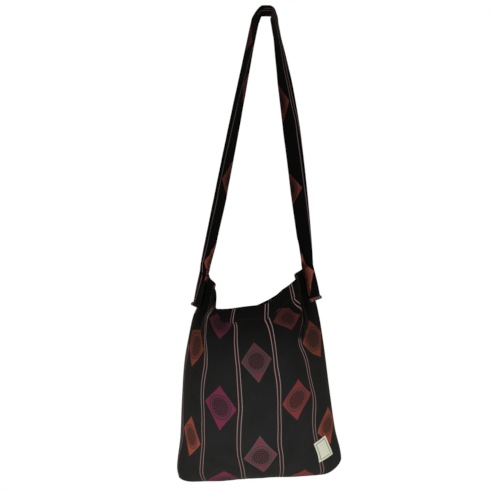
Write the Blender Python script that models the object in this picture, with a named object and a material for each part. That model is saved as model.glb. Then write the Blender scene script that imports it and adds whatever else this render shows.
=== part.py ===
"""Soft shoulder book bag of patterned cotton, hanging by its strap.

Two cloth panels are sewn together down both sides and along the bottom. Their upper edges are
turned hems, which sag between the two ends of the strap. The strap is one flat folded strip whose
ends are turned under and sewn over the side seams.

Metres, +Z up, the front of the bag faces -Y. The origin is the middle of the strap's underside
at the top of its loop, where the bag hangs. The panels are shaped in the bag's own upright frame,
with its origin in the middle of the bottom seam, and that frame leans a little as the bag hangs.
"""

import math
from collections import namedtuple

import bpy
from mathutils import Matrix, Vector

# Cloth and sewing
CLOTH = 0.0015
SEAM_GAP = 0.0003
HEM_DEPTH = 0.027
HEM_STEP = 0.001
PANEL_WIDTH = 0.400

# How the bag hangs: lean of its own frame, and the bottom seam seen from the hang point
HANG_LEAN = math.radians(3.3)
BOTTOM_FROM_HANG = Vector((-0.009, 0.0, -0.932))

# The bottom, where both panels turn under to the bottom seam
LEFT_CORNER_RISE = 0.010
RIGHT_CORNER_RISE = 0.028
CORNER_SHARPNESS = 17.0
BOTTOM_ROUND = 0.070

# Strap
STRAP_WIDTH = 0.036
STRAP_THICKNESS = 0.003
STRAP_END_HEIGHT = 0.3465
STRAP_END_FOLD = 0.008
STRAP_PITCH = 0.019

# Label
LABEL_WIDTH = 0.031
LABEL_HEIGHT = 0.043
LABEL_THICKNESS = 0.0007
LABEL_ACROSS = 0.337
LABEL_UP = 0.057
LABEL_TURN = math.radians(18.0)

# Slope, as a share of the radius, with which a cubic makes a quarter of a circle
ROUND_SLOPE = 1.657

# Number of facets
PANEL_COLUMNS = {"front": 44, "back": 34}
HEM_ROWS = 3
BODY_ROWS = 17
ROUND_ROWS = 5
SECTION_SAMPLES = 18
STRAP_FACETS = 6
LABEL_COLUMNS = 6
LABEL_ROWS = 7

# Level sections of the bag: where the side seams lie, how far the front and back stand out from
# them, and how far each seam is turned to the front, in degrees
Section = namedtuple("Section", "height left right front back left_turn right_turn")
SECTIONS = (
    Section(0.000, -0.162, 0.148, 0.068, 0.044, 0.0, 0.0),
    Section(0.030, -0.167, 0.159, 0.074, 0.046, 0.0, 0.0),
    Section(0.090, -0.157, 0.150, 0.090, 0.050, 4.0, 6.0),
    Section(0.160, -0.150, 0.144, 0.097, 0.050, 8.0, 12.0),
    Section(0.240, -0.140, 0.138, 0.096, 0.048, 14.0, 20.0),
    Section(0.300, -0.1255, 0.132, 0.091, 0.045, 22.0, 32.0),
    Section(0.330, -0.1165, 0.1275, 0.087, 0.042, 27.0, 39.0),
    Section(0.345, -0.109, 0.1245, 0.085, 0.040, 30.0, 42.0),
    Section(0.415, -0.082, 0.107, 0.070, 0.030, 32.0, 46.0),
)

# Rim of each panel: share of the way from the left seam to the right one, and height
RIM = {
    "front": ((0.00, 0.413), (0.05, 0.402), (0.12, 0.389), (0.17, 0.378), (0.192, 0.364), (0.208, 0.346),
              (0.24, 0.343), (0.45, 0.346), (0.57, 0.349), (0.62, 0.356), (0.68, 0.367), (0.77, 0.382),
              (0.90, 0.402), (1.00, 0.414)),
    "back": ((0.00, 0.413), (0.08, 0.384), (0.18, 0.350), (0.34, 0.340), (0.45, 0.346), (0.56, 0.352),
             (0.66, 0.360), (0.72, 0.371), (0.83, 0.387), (0.91, 0.399), (1.00, 0.414)),
}

# Soft folds that run down from the rim: places across the cloth at the rim and at the fold's foot,
# half width and depth across the cloth (a negative depth is a valley), and length down the cloth
Fold = namedtuple("Fold", "top foot width depth length")
FOLDS = {
    "front": (
        Fold(0.036, 0.044, 0.013, -0.010, 0.150),
        Fold(0.066, 0.100, 0.016, 0.002, 0.170),
        Fold(0.130, 0.170, 0.030, -0.004, 0.220),
        Fold(0.364, 0.356, 0.012, -0.010, 0.150),
        Fold(0.332, 0.318, 0.018, 0.007, 0.190),
        Fold(0.270, 0.220, 0.028, -0.004, 0.250),
    ),
    "back": (
        Fold(0.050, 0.070, 0.016, -0.008, 0.200),
        Fold(0.110, 0.120, 0.026, 0.006, 0.330),
        Fold(0.200, 0.205, 0.045, -0.016, 0.390),
        Fold(0.290, 0.275, 0.026, 0.006, 0.330),
        Fold(0.350, 0.330, 0.016, -0.008, 0.200),
    ),
}

# The strap's arms, from the rim to the loop: share of the way up, how far the strap's outer face
# is turned from the front towards its own side, and how far the strip is curled in on itself
ArmStation = namedtuple("ArmStation", "share turn curl")
ARMS = {
    "left": (ArmStation(0.03, 54.0, 160.0), ArmStation(0.12, 46.0, 64.0), ArmStation(0.30, 44.0, 24.0),
             ArmStation(0.55, 49.0, 14.0), ArmStation(0.90, 62.0, 10.0)),
    "right": (ArmStation(0.03, 40.0, 150.0), ArmStation(0.12, 29.0, 64.0), ArmStation(0.30, 18.0, 22.0),
              ArmStation(0.55, 12.0, 14.0), ArmStation(0.75, 33.0, 12.0), ArmStation(0.93, 62.0, 6.0)),
}
ARM_CURL_AT_RIM = 120.0
ARM_BOW = {"left": 0.001, "right": 0.007}

# The top of the loop: a short flat stretch that leans back, how far its shoulders run on beyond it
# and bulge at the bend, and where each arm starts below it and which way its outer face looks there
LOOP_LEAN = math.radians(48.0)
LOOP_FLAT = 0.006
LOOP_SHOULDER = 0.0045
LOOP_BULGE = 0.00125
LOOP_BEND = 0.4
ARM_TOP = {"left": Vector((-0.0235, 0.0, -0.023)), "right": Vector((0.0160, 0.0, -0.021))}
ARM_TOP_FACING = {"left": Vector((-1.0, -0.5, 0.05)), "right": Vector((1.0, -0.5, 0.05))}

# Colours, in linear light
BLACK_CLOTH = (0.016, 0.016, 0.017, 1.0)
CREAM_LABEL = (0.56, 0.55, 0.44, 1.0)


def clear_scene():
    for thing in list(bpy.data.objects):
        bpy.data.objects.remove(thing, do_unlink=True)


def material(name, colour, roughness):
    """A plain cloth surface."""
    cloth = bpy.data.materials.new(name)
    cloth.use_nodes = True
    shader = cloth.node_tree.nodes["Principled BSDF"]
    shader.inputs["Base Color"].default_value = colour
    shader.inputs["Roughness"].default_value = roughness
    shader.inputs["Metallic"].default_value = 0.0
    return cloth


def hermite(start, start_slope, end, end_slope, share):
    """Cubic between two values or points that leaves and arrives along the given slopes."""
    rest = share - 1.0
    return (
        start * ((1.0 + 2.0 * share) * rest * rest)
        + start_slope * (share * rest * rest)
        + end * (share * share * (3.0 - 2.0 * share))
        + end_slope * (share * share * rest)
    )


def smooth_between(places, values, place):
    """Value at a place along a smooth curve through the given values."""
    last = len(places) - 1
    place = min(max(place, places[0]), places[-1])
    low = max(i for i in range(last) if places[i] <= place or i == 0)

    def slope(i):
        before, after = max(i - 1, 0), min(i + 1, last)
        return (values[after] - values[before]) * (1.0 / (places[after] - places[before]))

    span = places[low + 1] - places[low]
    share = (place - places[low]) / span
    return hermite(values[low], slope(low) * span, values[low + 1], slope(low + 1) * span, share)


def section_at(height):
    """The bag's level section at a height, between the stations."""
    heights = [row.height for row in SECTIONS]
    return Section(*(smooth_between(heights, column, height) for column in zip(*SECTIONS)))


def rim_height(face, share):
    places, heights = zip(*RIM[face])
    return smooth_between(places, heights, share)


def bottom_height(share):
    """The bottom seam lies level in the middle and rises to both corners."""
    rise = LEFT_CORNER_RISE if share < 0.5 else RIGHT_CORNER_RISE
    return rise * abs(2.0 * share - 1.0) ** CORNER_SHARPNESS


def fullness_at(share, height):
    """How far the cloth stands out there: nothing at the bottom seam, all of it above the round."""
    closeness = 1.0 - min(max((height - bottom_height(share)) / BOTTOM_ROUND, 0.0), 1.0)
    return math.sqrt(1.0 - closeness * closeness)


def seam_point(side, height):
    row = section_at(height)
    return Vector((row.left if side == "left" else row.right, 0.0, height))


def seam_forward(side, height):
    """Level direction along the cloth, from the side seam to the front."""
    row = section_at(height)
    if side == "left":
        turn = math.radians(row.left_turn)
        return Vector((math.sin(turn), -math.cos(turn), 0.0))
    turn = math.radians(row.right_turn)
    return Vector((-math.sin(turn), -math.cos(turn), 0.0))


def seam_outward(side, height):
    """Direction square to the cloth at the side seam, out of the bag."""
    step = 0.002
    along = seam_point(side, height + step) - seam_point(side, height - step)
    forward = seam_forward(side, height)
    out = forward.cross(along) if side == "left" else along.cross(forward)
    return out.normalized()


def panel_section(face, height, fullness):
    """One panel's level section, from the left seam by its crown to the right seam."""
    row = section_at(height)
    reach = row.front if face == "front" else row.back
    toward = 1.0 if face == "front" else -1.0
    crown = Vector(((row.left + row.right) / 2.0, -toward * reach, height))
    crown_slope = Vector((1.0, 0.0, 0.0))
    half_width = (row.right - row.left) / 2.0
    leave = seam_forward("left", height) * toward
    arrive = -seam_forward("right", height) * toward
    start = seam_point("left", height) + leave * (SEAM_GAP / 2.0)
    end = seam_point("right", height) - arrive * (SEAM_GAP / 2.0)
    points = []
    for i in range(SECTION_SAMPLES):
        points.append(hermite(start, leave * (ROUND_SLOPE * reach), crown, crown_slope * (ROUND_SLOPE * half_width),
                              i / SECTION_SAMPLES))
    for i in range(SECTION_SAMPLES + 1):
        points.append(hermite(crown, crown_slope * (ROUND_SLOPE * half_width), end, arrive * (ROUND_SLOPE * reach),
                              i / SECTION_SAMPLES))
    edge = toward * SEAM_GAP / 2.0
    for point in points:
        point.y = -edge + (point.y + edge) * fullness
    return points


def point_along(points, share):
    """Point at a share of the length of a chain of points."""
    lengths = [0.0]
    for before, after in zip(points, points[1:]):
        lengths.append(lengths[-1] + (after - before).length)
    target = share * lengths[-1]
    for i in range(1, len(points)):
        if lengths[i] >= target or i == len(points) - 1:
            span = lengths[i] - lengths[i - 1]
            return points[i - 1].lerp(points[i], (target - lengths[i - 1]) / span)
    return points[-1]


def cloth_point(face, share, height):
    """Point on a panel's inner side, before its folds."""
    return point_along(panel_section(face, height, fullness_at(share, height)), share)


def row_heights(face, share):
    """Heights down one column of cloth, from the rim over the hem to the bottom seam."""
    rim = rim_height(face, share)
    bottom = bottom_height(share)
    hem_height = HEM_DEPTH - HEM_STEP / 2.0
    heights = [rim - hem_height * i / (HEM_ROWS - 1) for i in range(HEM_ROWS)]
    hem_foot = rim - HEM_DEPTH - HEM_STEP / 2.0
    round_top = bottom + BOTTOM_ROUND
    for i in range(BODY_ROWS):
        heights.append(hem_foot + (round_top - hem_foot) * i / BODY_ROWS)
    for i in range(ROUND_ROWS + 1):
        angle = math.pi / 2.0 * (1.0 - i / ROUND_ROWS)
        heights.append(bottom + BOTTOM_ROUND * (1.0 - math.cos(angle)))
    return heights


def fold_offset(face, across, below_rim):
    """How far the soft folds push the cloth out at a place across it and below the rim."""
    offset = 0.0
    for fold in FOLDS[face]:
        run = min(below_rim / fold.length, 1.0)
        middle = fold.top + (fold.foot - fold.top) * run
        fade = math.cos(math.pi / 2.0 * run) ** 2
        offset += fold.depth * fade * math.exp(-(((across - middle) / fold.width) ** 2))
    from_seam = min(across, PANEL_WIDTH - across)
    return offset * (1.0 - math.exp(-((from_seam / (STRAP_WIDTH / 2.0)) ** 2)))


def cloth_normal(grid, row, column, face):
    """Direction out of the bag at one place of a grid of cloth points."""
    up = grid[max(row - 1, 0)][column] - grid[min(row + 1, len(grid) - 1)][column]
    across = grid[row][min(column + 1, len(grid[0]) - 1)] - grid[row][max(column - 1, 0)]
    out = across.cross(up)
    return out.normalized() if face == "front" else -out.normalized()


def seam_normal(grid, row, column):
    """Direction out of the bag at a seam, in the surface where the two panels meet."""
    last_row, last_column = len(grid) - 1, len(grid[0]) - 1
    side = {0: "left", last_column: "right"}.get(column)
    if side and row < last_row:
        return seam_outward(side, grid[row][column].z)
    before = grid[last_row][max(column - 1, 0)]
    after = grid[last_row][min(column + 1, last_column)]
    down = Vector((after.z - before.z, 0.0, before.x - after.x)).normalized()
    if side:
        down = (down + seam_outward(side, grid[row][column].z)).normalized()
    return down


def panel_surfaces(face):
    """Inner and outer points of a panel, as rows from the rim down."""
    columns = PANEL_COLUMNS[face]
    shares = [i / columns for i in range(columns + 1)]
    heights = [row_heights(face, share) for share in shares]
    row_count = len(heights[0])
    base = [[cloth_point(face, share, heights[i][row]) for i, share in enumerate(shares)]
            for row in range(row_count)]
    inner = []
    for row in range(row_count):
        line = []
        for i, share in enumerate(shares):
            below_rim = base[0][i].z - base[row][i].z
            push = fold_offset(face, share * PANEL_WIDTH, below_rim)
            line.append(base[row][i] + cloth_normal(base, row, i, face) * push)
        inner.append(line)
    outer = []
    for row in range(row_count):
        thickness = 2.0 * CLOTH if row < HEM_ROWS else CLOTH
        line = []
        for i in range(columns + 1):
            at_seam = i in (0, columns) or row == row_count - 1
            out = seam_normal(inner, row, i) if at_seam else cloth_normal(inner, row, i, face)
            line.append(inner[row][i] + out * thickness)
        outer.append(line)
    return inner, outer


def shell_mesh(name, inner, outer):
    """Closed mesh between two grids of points, with its faces outward."""
    rows, columns = len(inner), len(inner[0])
    points = [point for grid in (inner, outer) for line in grid for point in line]

    def index(layer, row, column):
        return (layer * rows + row) * columns + column

    faces = []
    for row in range(rows - 1):
        for column in range(columns - 1):
            for layer in (0, 1):
                ring = [index(layer, row, column), index(layer, row + 1, column),
                        index(layer, row + 1, column + 1), index(layer, row, column + 1)]
                faces.append(ring if layer else ring[::-1])
    border = [(0, c) for c in range(columns)] + [(r, columns - 1) for r in range(1, rows)]
    border += [(rows - 1, c) for c in range(columns - 2, -1, -1)] + [(r, 0) for r in range(rows - 2, 0, -1)]
    for here, after in zip(border, border[1:] + border[:1]):
        faces.append([index(0, *here), index(1, *here), index(1, *after), index(0, *after)])
    mesh = bpy.data.meshes.new(name)
    mesh.from_pydata([tuple(point) for point in points], [], faces)
    mesh.validate()
    return mesh


def outward(mesh):
    """Turn the faces out when the mesh came out inside out."""
    volume = 0.0
    for face in mesh.polygons:
        corners = [mesh.vertices[i].co for i in face.vertices]
        for b, c in zip(corners[1:], corners[2:]):
            volume += corners[0].dot(b.cross(c))
    if volume < 0.0:
        mesh.flip_normals()


def add_piece(name, mesh, surface, parent=None):
    outward(mesh)
    mesh.shade_smooth()
    mesh.set_sharp_from_angle(angle=math.radians(40.0))
    mesh.materials.append(surface)
    piece = bpy.data.objects.new(name, mesh)
    piece.parent = parent
    bpy.context.scene.collection.objects.link(piece)
    return piece


def bag_frame():
    """The frame in which the panels and the label are shaped, leaning as the bag hangs."""
    frame = bpy.data.objects.new("bag_frame", None)
    frame.location = BOTTOM_FROM_HANG
    frame.rotation_euler = (0.0, -HANG_LEAN, 0.0)
    bpy.context.scene.collection.objects.link(frame)
    return frame


def to_hang(point):
    return BOTTOM_FROM_HANG + to_hang_direction(point)


def to_hang_direction(direction):
    return Matrix.Rotation(-HANG_LEAN, 3, "Y") @ direction


def make_panel(face, frame, surface):
    inner, outer = panel_surfaces(face)
    name = face + "_panel"
    return add_piece(name, shell_mesh(name, inner, outer), surface, frame)


StrapPoint = namedtuple("StrapPoint", "place facing curl")


def sewn_stations(side):
    """The strap's sewn end, flat on the outside of the side seam, from its end up to the rim."""
    seat = 2.0 * CLOTH + SEAM_GAP + STRAP_THICKNESS / 2.0
    rim = rim_height("front", 0.0 if side == "left" else 1.0)
    fold_top = STRAP_END_HEIGHT + STRAP_END_FOLD
    stations = []
    for height, curl in ((STRAP_END_HEIGHT, 0.0), (fold_top, 0.0), (fold_top + HEM_STEP, 0.0),
                         (rim, ARM_CURL_AT_RIM)):
        out = seam_outward(side, height)
        place = to_hang(seam_point(side, height) + out * seat)
        stations.append(StrapPoint(place, to_hang_direction(out), curl))
    return stations


def arm_stations(side, foot):
    """The free arm of the strap, nearly straight from the rim to the loop at the top."""
    sign = -1.0 if side == "left" else 1.0
    stations = []
    for arm in ARMS[side]:
        turn = math.radians(arm.turn)
        facing = Vector((sign * math.sin(turn), -math.cos(turn), 0.0))
        bow = Vector((sign * ARM_BOW[side] * math.sin(math.pi * arm.share), 0.0, 0.0))
        stations.append(StrapPoint(foot.lerp(ARM_TOP[side], arm.share) + bow, facing, arm.curl))
    return stations


def loop_stations():
    """The top of the loop: a short flat stretch that leans back, with a bend at each end."""
    up = Vector((0.0, -math.sin(LOOP_LEAN), math.cos(LOOP_LEAN)))
    rise = up * (STRAP_THICKNESS / 2.0)
    stations = []
    for side, sign in (("left", -1.0), ("right", 1.0)):
        flat_end = Vector((sign * LOOP_FLAT / 2.0, 0.0, 0.0)) + rise
        shoulder = flat_end + Vector((sign * LOOP_SHOULDER, 0.0, 0.0))
        bend = shoulder.lerp(ARM_TOP[side], LOOP_BEND) + Vector((sign * LOOP_BULGE, 0.0, 0.0))
        down_arm = ARM_TOP_FACING[side].normalized()
        half = [
            StrapPoint(ARM_TOP[side], down_arm, 0.0),
            StrapPoint(bend, (up + down_arm).normalized(), 0.0),
            StrapPoint(shoulder, up, 0.0),
            StrapPoint(flat_end, up, 0.0),
        ]
        stations += half if side == "left" else half[::-1]
    return stations


def strap_route():
    """Stations of the strap from its left end to its right end, evenly filled in between."""
    marks = []
    for side in ("left", "right"):
        sewn = sewn_stations(side)
        half = sewn + arm_stations(side, sewn[-1].place)
        marks += half + loop_stations() if side == "left" else half[::-1]
    distances = [0.0]
    for before, after in zip(marks, marks[1:]):
        distances.append(distances[-1] + (after.place - before.place).length)
    route = []
    for i in range(len(marks) - 1):
        span = distances[i + 1] - distances[i]
        steps = math.ceil(span / STRAP_PITCH)
        for step in range(steps):
            route.append(station_between(marks, distances, i, step / steps))
    route.append(marks[-1])
    return route


def station_between(marks, distances, low, share):
    before, after = marks[low], marks[low + 1]
    place = distances[low] + (distances[low + 1] - distances[low]) * share
    point = smooth_between(distances, [mark.place for mark in marks], place)
    return StrapPoint(point, before.facing.lerp(after.facing, share).normalized(),
                      before.curl + (after.curl - before.curl) * share)


def strap_section(station, along, thick_out):
    """Closed section of the strip, curled outward about its run and square to it."""
    facing = (station.facing - along * station.facing.dot(along)).normalized()
    across = along.cross(facing)
    curl = max(math.radians(station.curl), 0.001)
    radius = STRAP_WIDTH / curl
    ring = []
    for thickness, order in ((-STRAP_THICKNESS / 2.0, 1), (thick_out, -1)):
        for i in range(STRAP_FACETS + 1)[::order]:
            angle = curl * (i / STRAP_FACETS - 0.5)
            reach = radius - thickness
            side = reach * math.sin(angle)
            lift = radius - reach * math.cos(angle)
            ring.append(station.place + across * side + facing * lift)
    return ring


def make_strap(surface):
    """The strip swept along its route, thicker where each end is turned under."""
    route = strap_route()
    rings = []
    last = len(route) - 1
    for i, station in enumerate(route):
        along = (route[min(i + 1, last)].place - route[max(i - 1, 0)].place).normalized()
        turned_under = i <= 1 or i >= last - 1
        layers = 1.5 if turned_under else 0.5
        rings.append(strap_section(station, along, STRAP_THICKNESS * layers))
    size = len(rings[0])
    points = [tuple(point) for ring in rings for point in ring]
    faces = []
    for i in range(last):
        for j in range(size):
            k = (j + 1) % size
            faces.append([i * size + j, i * size + k, (i + 1) * size + k, (i + 1) * size + j])
    half = STRAP_FACETS
    for start, turn in ((0, 1), (last * size, -1)):
        for j in range(half):
            faces.append([start + j, start + size - 1 - j, start + size - 2 - j, start + j + 1][::turn])
    mesh = bpy.data.meshes.new("strap")
    mesh.from_pydata(points, [], faces)
    mesh.validate()
    return add_piece("strap", mesh, surface)


def front_surface(across, height):
    """Point on the outside of the front panel, with the steps to the right and up there."""
    reach = 0.004

    def place(across, height):
        return cloth_point("front", across / PANEL_WIDTH, height)

    right = (place(across + reach, height) - place(across - reach, height)) / (2.0 * reach)
    up = (place(across, height + reach) - place(across, height - reach)) / (2.0 * reach)
    out = right.cross(up).normalized()
    below_rim = rim_height("front", across / PANEL_WIDTH) - height
    lift = CLOTH + fold_offset("front", across, below_rim)
    return place(across, height) + out * lift, right, up


def make_label(frame, surface):
    """Small thin label that lies turned a little on the front and follows its curve."""
    middle, right, up = front_surface(LABEL_ACROSS, LABEL_UP)
    out = right.cross(up).normalized()
    label_up = Matrix.Rotation(LABEL_TURN, 3, out) @ up.normalized()
    label_right = label_up.cross(out)
    skew = right.dot(up)
    scale = right.dot(right) * up.dot(up) - skew * skew
    inner, outer = [], []
    for row in range(LABEL_ROWS + 1):
        inner_line, outer_line = [], []
        for column in range(LABEL_COLUMNS + 1):
            step = (label_right * (LABEL_WIDTH * (column / LABEL_COLUMNS - 0.5))
                    + label_up * (LABEL_HEIGHT * (0.5 - row / LABEL_ROWS)))
            across = (step.dot(right) * up.dot(up) - step.dot(up) * skew) / scale
            height = (step.dot(up) * right.dot(right) - step.dot(right) * skew) / scale
            point, here_right, here_up = front_surface(LABEL_ACROSS + across, LABEL_UP + height)
            here_out = here_right.cross(here_up).normalized()
            inner_line.append(point + here_out * SEAM_GAP)
            outer_line.append(point + here_out * (SEAM_GAP + LABEL_THICKNESS))
        inner.append(inner_line)
        outer.append(outer_line)
    return add_piece("label", shell_mesh("label", inner, outer), surface, frame)


def main():
    clear_scene()
    frame = bag_frame()
    make_panel("front", frame, material("front_cloth", BLACK_CLOTH, 0.9))
    make_panel("back", frame, material("back_cloth", BLACK_CLOTH, 0.9))
    make_strap(material("strap_cloth", BLACK_CLOTH, 0.85))
    make_label(frame, material("label_cloth", CREAM_LABEL, 0.8))


main()
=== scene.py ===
import math
from collections import namedtuple

import bpy
import numpy as np
from bpy.props import FloatProperty, FloatVectorProperty, PointerProperty
from mathutils import Matrix, Vector, noise


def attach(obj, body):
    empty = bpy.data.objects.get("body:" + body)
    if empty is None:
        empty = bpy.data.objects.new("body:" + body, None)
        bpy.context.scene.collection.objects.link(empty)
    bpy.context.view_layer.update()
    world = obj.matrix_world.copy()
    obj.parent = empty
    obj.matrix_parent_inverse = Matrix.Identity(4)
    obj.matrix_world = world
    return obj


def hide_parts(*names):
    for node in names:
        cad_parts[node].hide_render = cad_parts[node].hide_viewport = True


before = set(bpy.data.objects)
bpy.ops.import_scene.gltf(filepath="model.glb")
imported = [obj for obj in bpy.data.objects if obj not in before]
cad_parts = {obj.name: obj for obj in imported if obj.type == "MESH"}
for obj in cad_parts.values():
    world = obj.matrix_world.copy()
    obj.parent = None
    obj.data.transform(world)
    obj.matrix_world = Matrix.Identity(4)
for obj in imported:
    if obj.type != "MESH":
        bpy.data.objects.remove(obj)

bl_info = {
    "name": "Patterned Cotton Book Bag",
    "version": (1, 0, 0),
    "blender": (4, 5, 0),
    "location": "View3D > Sidebar > Book Bag",
    "description": "Dresses the frame of a hanging cotton book bag: panels, strap, label, seams and stage",
    "category": "Object",
}

# Cloth and sewing, in metres, as in the part
CLOTH = 0.0015
SEAM_GAP = 0.0003
HEM_DEPTH = 0.027
HEM_STEP = 0.001
PANEL_WIDTH = 0.400
HANG_LEAN = math.radians(3.3)
BOTTOM_FROM_HANG = Vector((-0.009, 0.0, -0.932))
LEFT_CORNER_RISE = 0.010
RIGHT_CORNER_RISE = 0.028
CORNER_SHARPNESS = 17.0
BOTTOM_ROUND = 0.070
STRAP_WIDTH = 0.036
STRAP_THICKNESS = 0.003
STRAP_END_HEIGHT = 0.3465
STRAP_END_FOLD = 0.008
LABEL_WIDTH = 0.031
LABEL_HEIGHT = 0.043
LABEL_THICKNESS = 0.0007
LABEL_ACROSS = 0.337
LABEL_UP = 0.057
LABEL_TURN = math.radians(18.0)
ROUND_SLOPE = 1.657

# Fine form of the strap, in metres: its stitched grooves, the height of its pleats at the rim, and
# along each end the rolled edge's middle and half length and the zone with the turned edge's cotton
GROOVE_PLACE = 0.0148
GROOVE_WIDTH = 0.0009
PLEAT_HEIGHT = 0.0013
ROLL_MIDDLE = 0.0034
ROLL_HALF_LENGTH = 0.0037
TURNED_ZONE = 0.0068

# Fine form of the label and its stitches, in metres
LABEL_EASE = 0.0003
LABEL_SEAM_INSET = 0.0018
LABEL_STITCH = 0.0022
THREAD_LIFT = 0.0001
LABEL_STITCH_PITCH = 0.0030
HEM_SEAM_INSET = 0.0030

# How finely the cloth is drawn
PANEL_COLUMNS = 132
HEM_ROWS = 9
BODY_ROWS = 72
ROUND_ROWS = 20
RIM_POINTS = 4
SECTION_SAMPLES = 18
STRAP_PITCH = 0.004
SEWN_END_PITCH = 0.0011
STRAP_POINTS = 18
LABEL_COLUMNS = 24
LABEL_ROWS = 28

# Level sections of the bag: where the side seams lie, how far the front and back stand out from
# them, and how far each seam is turned to the front, in degrees
Section = namedtuple("Section", "height left right front back left_turn right_turn")
SECTIONS = (
    Section(0.000, -0.162, 0.148, 0.068, 0.044, 0.0, 0.0),
    Section(0.030, -0.167, 0.159, 0.074, 0.046, 0.0, 0.0),
    Section(0.090, -0.157, 0.150, 0.090, 0.050, 4.0, 6.0),
    Section(0.160, -0.150, 0.144, 0.097, 0.050, 8.0, 12.0),
    Section(0.240, -0.140, 0.138, 0.096, 0.048, 14.0, 20.0),
    Section(0.300, -0.1255, 0.132, 0.091, 0.045, 22.0, 32.0),
    Section(0.330, -0.1165, 0.1275, 0.087, 0.042, 27.0, 39.0),
    Section(0.345, -0.109, 0.1245, 0.085, 0.040, 30.0, 42.0),
    Section(0.415, -0.082, 0.107, 0.070, 0.030, 32.0, 46.0),
)

# Rim of each panel: share of the way from the left seam to the right one, and height
RIM = {
    "front": ((0.00, 0.413), (0.05, 0.402), (0.12, 0.389), (0.175, 0.379), (0.199, 0.364), (0.212, 0.346),
              (0.24, 0.343), (0.45, 0.346), (0.57, 0.349), (0.62, 0.356), (0.68, 0.367), (0.77, 0.382),
              (0.90, 0.402), (1.00, 0.414)),
    "back": ((0.00, 0.413), (0.08, 0.384), (0.18, 0.344), (0.34, 0.334), (0.45, 0.341), (0.56, 0.349),
             (0.66, 0.360), (0.72, 0.371), (0.83, 0.387), (0.91, 0.399), (1.00, 0.414)),
}

# Soft folds that run down from the rim: places across the cloth at the rim and at the fold's foot,
# half width and depth across the cloth (a negative depth is a valley), and length down the cloth
Fold = namedtuple("Fold", "top foot width depth length")
FOLDS = {
    "front": (
        Fold(0.036, 0.044, 0.013, -0.010, 0.150),
        Fold(0.066, 0.100, 0.016, 0.002, 0.170),
        Fold(0.130, 0.170, 0.030, -0.004, 0.220),
        Fold(0.364, 0.356, 0.012, -0.010, 0.150),
        Fold(0.332, 0.318, 0.018, 0.007, 0.190),
        Fold(0.270, 0.220, 0.028, -0.004, 0.250),
    ),
    "back": (
        Fold(0.050, 0.070, 0.016, -0.008, 0.200),
        Fold(0.110, 0.120, 0.026, 0.006, 0.330),
        Fold(0.200, 0.205, 0.045, -0.016, 0.390),
        Fold(0.290, 0.275, 0.026, 0.006, 0.330),
        Fold(0.350, 0.330, 0.016, -0.008, 0.200),
    ),
}

# Small dents and swellings of the cloth: place across it and below the rim, half sizes, and depth
Dent = namedtuple("Dent", "across down half_across half_down depth")
DENTS = {
    "front": (
        Dent(0.196, 0.037, 0.050, 0.007, -0.0030),
        Dent(0.108, 0.022, 0.0032, 0.015, -0.0022),
        Dent(0.1155, 0.024, 0.0030, 0.016, 0.0014),
        Dent(0.123, 0.022, 0.0030, 0.015, -0.0022),
        Dent(0.130, 0.024, 0.0030, 0.016, 0.0012),
        Dent(0.138, 0.022, 0.0036, 0.014, -0.0018),
        Dent(0.300, 0.085, 0.010, 0.050, -0.0018),
        Dent(0.331, 0.062, 0.0055, 0.034, -0.0038),
        Dent(0.320, 0.066, 0.0060, 0.040, 0.0026),
        Dent(0.200, 0.350, 0.090, 0.016, -0.0012),
    ),
    "back": (
        Dent(0.150, 0.060, 0.050, 0.010, -0.0016),
        Dent(0.260, 0.160, 0.012, 0.060, -0.0015),
        Dent(0.200, 0.330, 0.090, 0.016, -0.0012),
    ),
}

# The strap's arms, from the rim to the loop: share of the way up, how far the strap's outer face
# is turned from the front towards its own side, and how far the strip is curled in on itself
ArmStation = namedtuple("ArmStation", "share turn curl")
ARMS = {
    "left": (ArmStation(0.03, 54.0, 160.0), ArmStation(0.12, 46.0, 64.0), ArmStation(0.30, 44.0, 24.0),
             ArmStation(0.55, 49.0, 14.0), ArmStation(0.90, 62.0, 10.0)),
    "right": (ArmStation(0.03, 40.0, 150.0), ArmStation(0.12, 29.0, 64.0), ArmStation(0.30, 18.0, 22.0),
              ArmStation(0.55, 12.0, 14.0), ArmStation(0.75, 33.0, 12.0), ArmStation(0.93, 62.0, 6.0)),
}
ARM_CURL_AT_RIM = 120.0
ARM_BOW = {"left": 0.001, "right": 0.007}
LOOP_LEAN = math.radians(48.0)
LOOP_FLAT_END = {"left": -0.0095, "right": 0.0080}
LOOP_SHOULDER = {"left": Vector((-0.0122, 0.0, -0.0015)), "right": Vector((0.0124, 0.0, -0.0015))}
LOOP_BEND = {"left": Vector((-0.0185, 0.0, -0.0110)), "right": Vector((0.0142, 0.0, -0.0100))}
ARM_TOP = {"left": Vector((-0.0235, 0.0, -0.023)), "right": Vector((0.0160, 0.0, -0.021))}
ARM_TOP_FACING = {"left": Vector((-1.0, -0.5, 0.05)), "right": Vector((1.0, -0.5, 0.05))}
LOOP_SHOULDER_EDGE = {"left": Vector((0.15, -0.78, -0.60)), "right": Vector((-0.15, -0.78, -0.60))}
LOOP_BEND_EDGE = {"left": Vector((0.35, -0.85, -0.38)), "right": Vector((-0.35, -0.85, -0.38))}

# The stage, in metres: where the floor lies, what the lamps point at, and how far off the camera
# stands from a view this wide
FLOOR_HEIGHT = -1.42
BAG_MIDDLE = Vector((0.0, 0.0, -0.65))
CAMERA_DISTANCE = 3.0
VIEW_WIDTH = 0.98

# The woven pattern, in millimetres: pairs of stripes, and between them columns of diamonds that
# stand half a repeat higher in every second column
STRIPE_PERIOD = 80.2
COLUMNS_SHOWN = 7
COLUMN_MIDDLE = 2.5
DIAMOND_REPEAT = 185.0
DIAMOND_ROW = 107.6
DIAMOND_HALF_WIDTH = 32.0
DIAMOND_HALF_HEIGHT = 44.0

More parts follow.
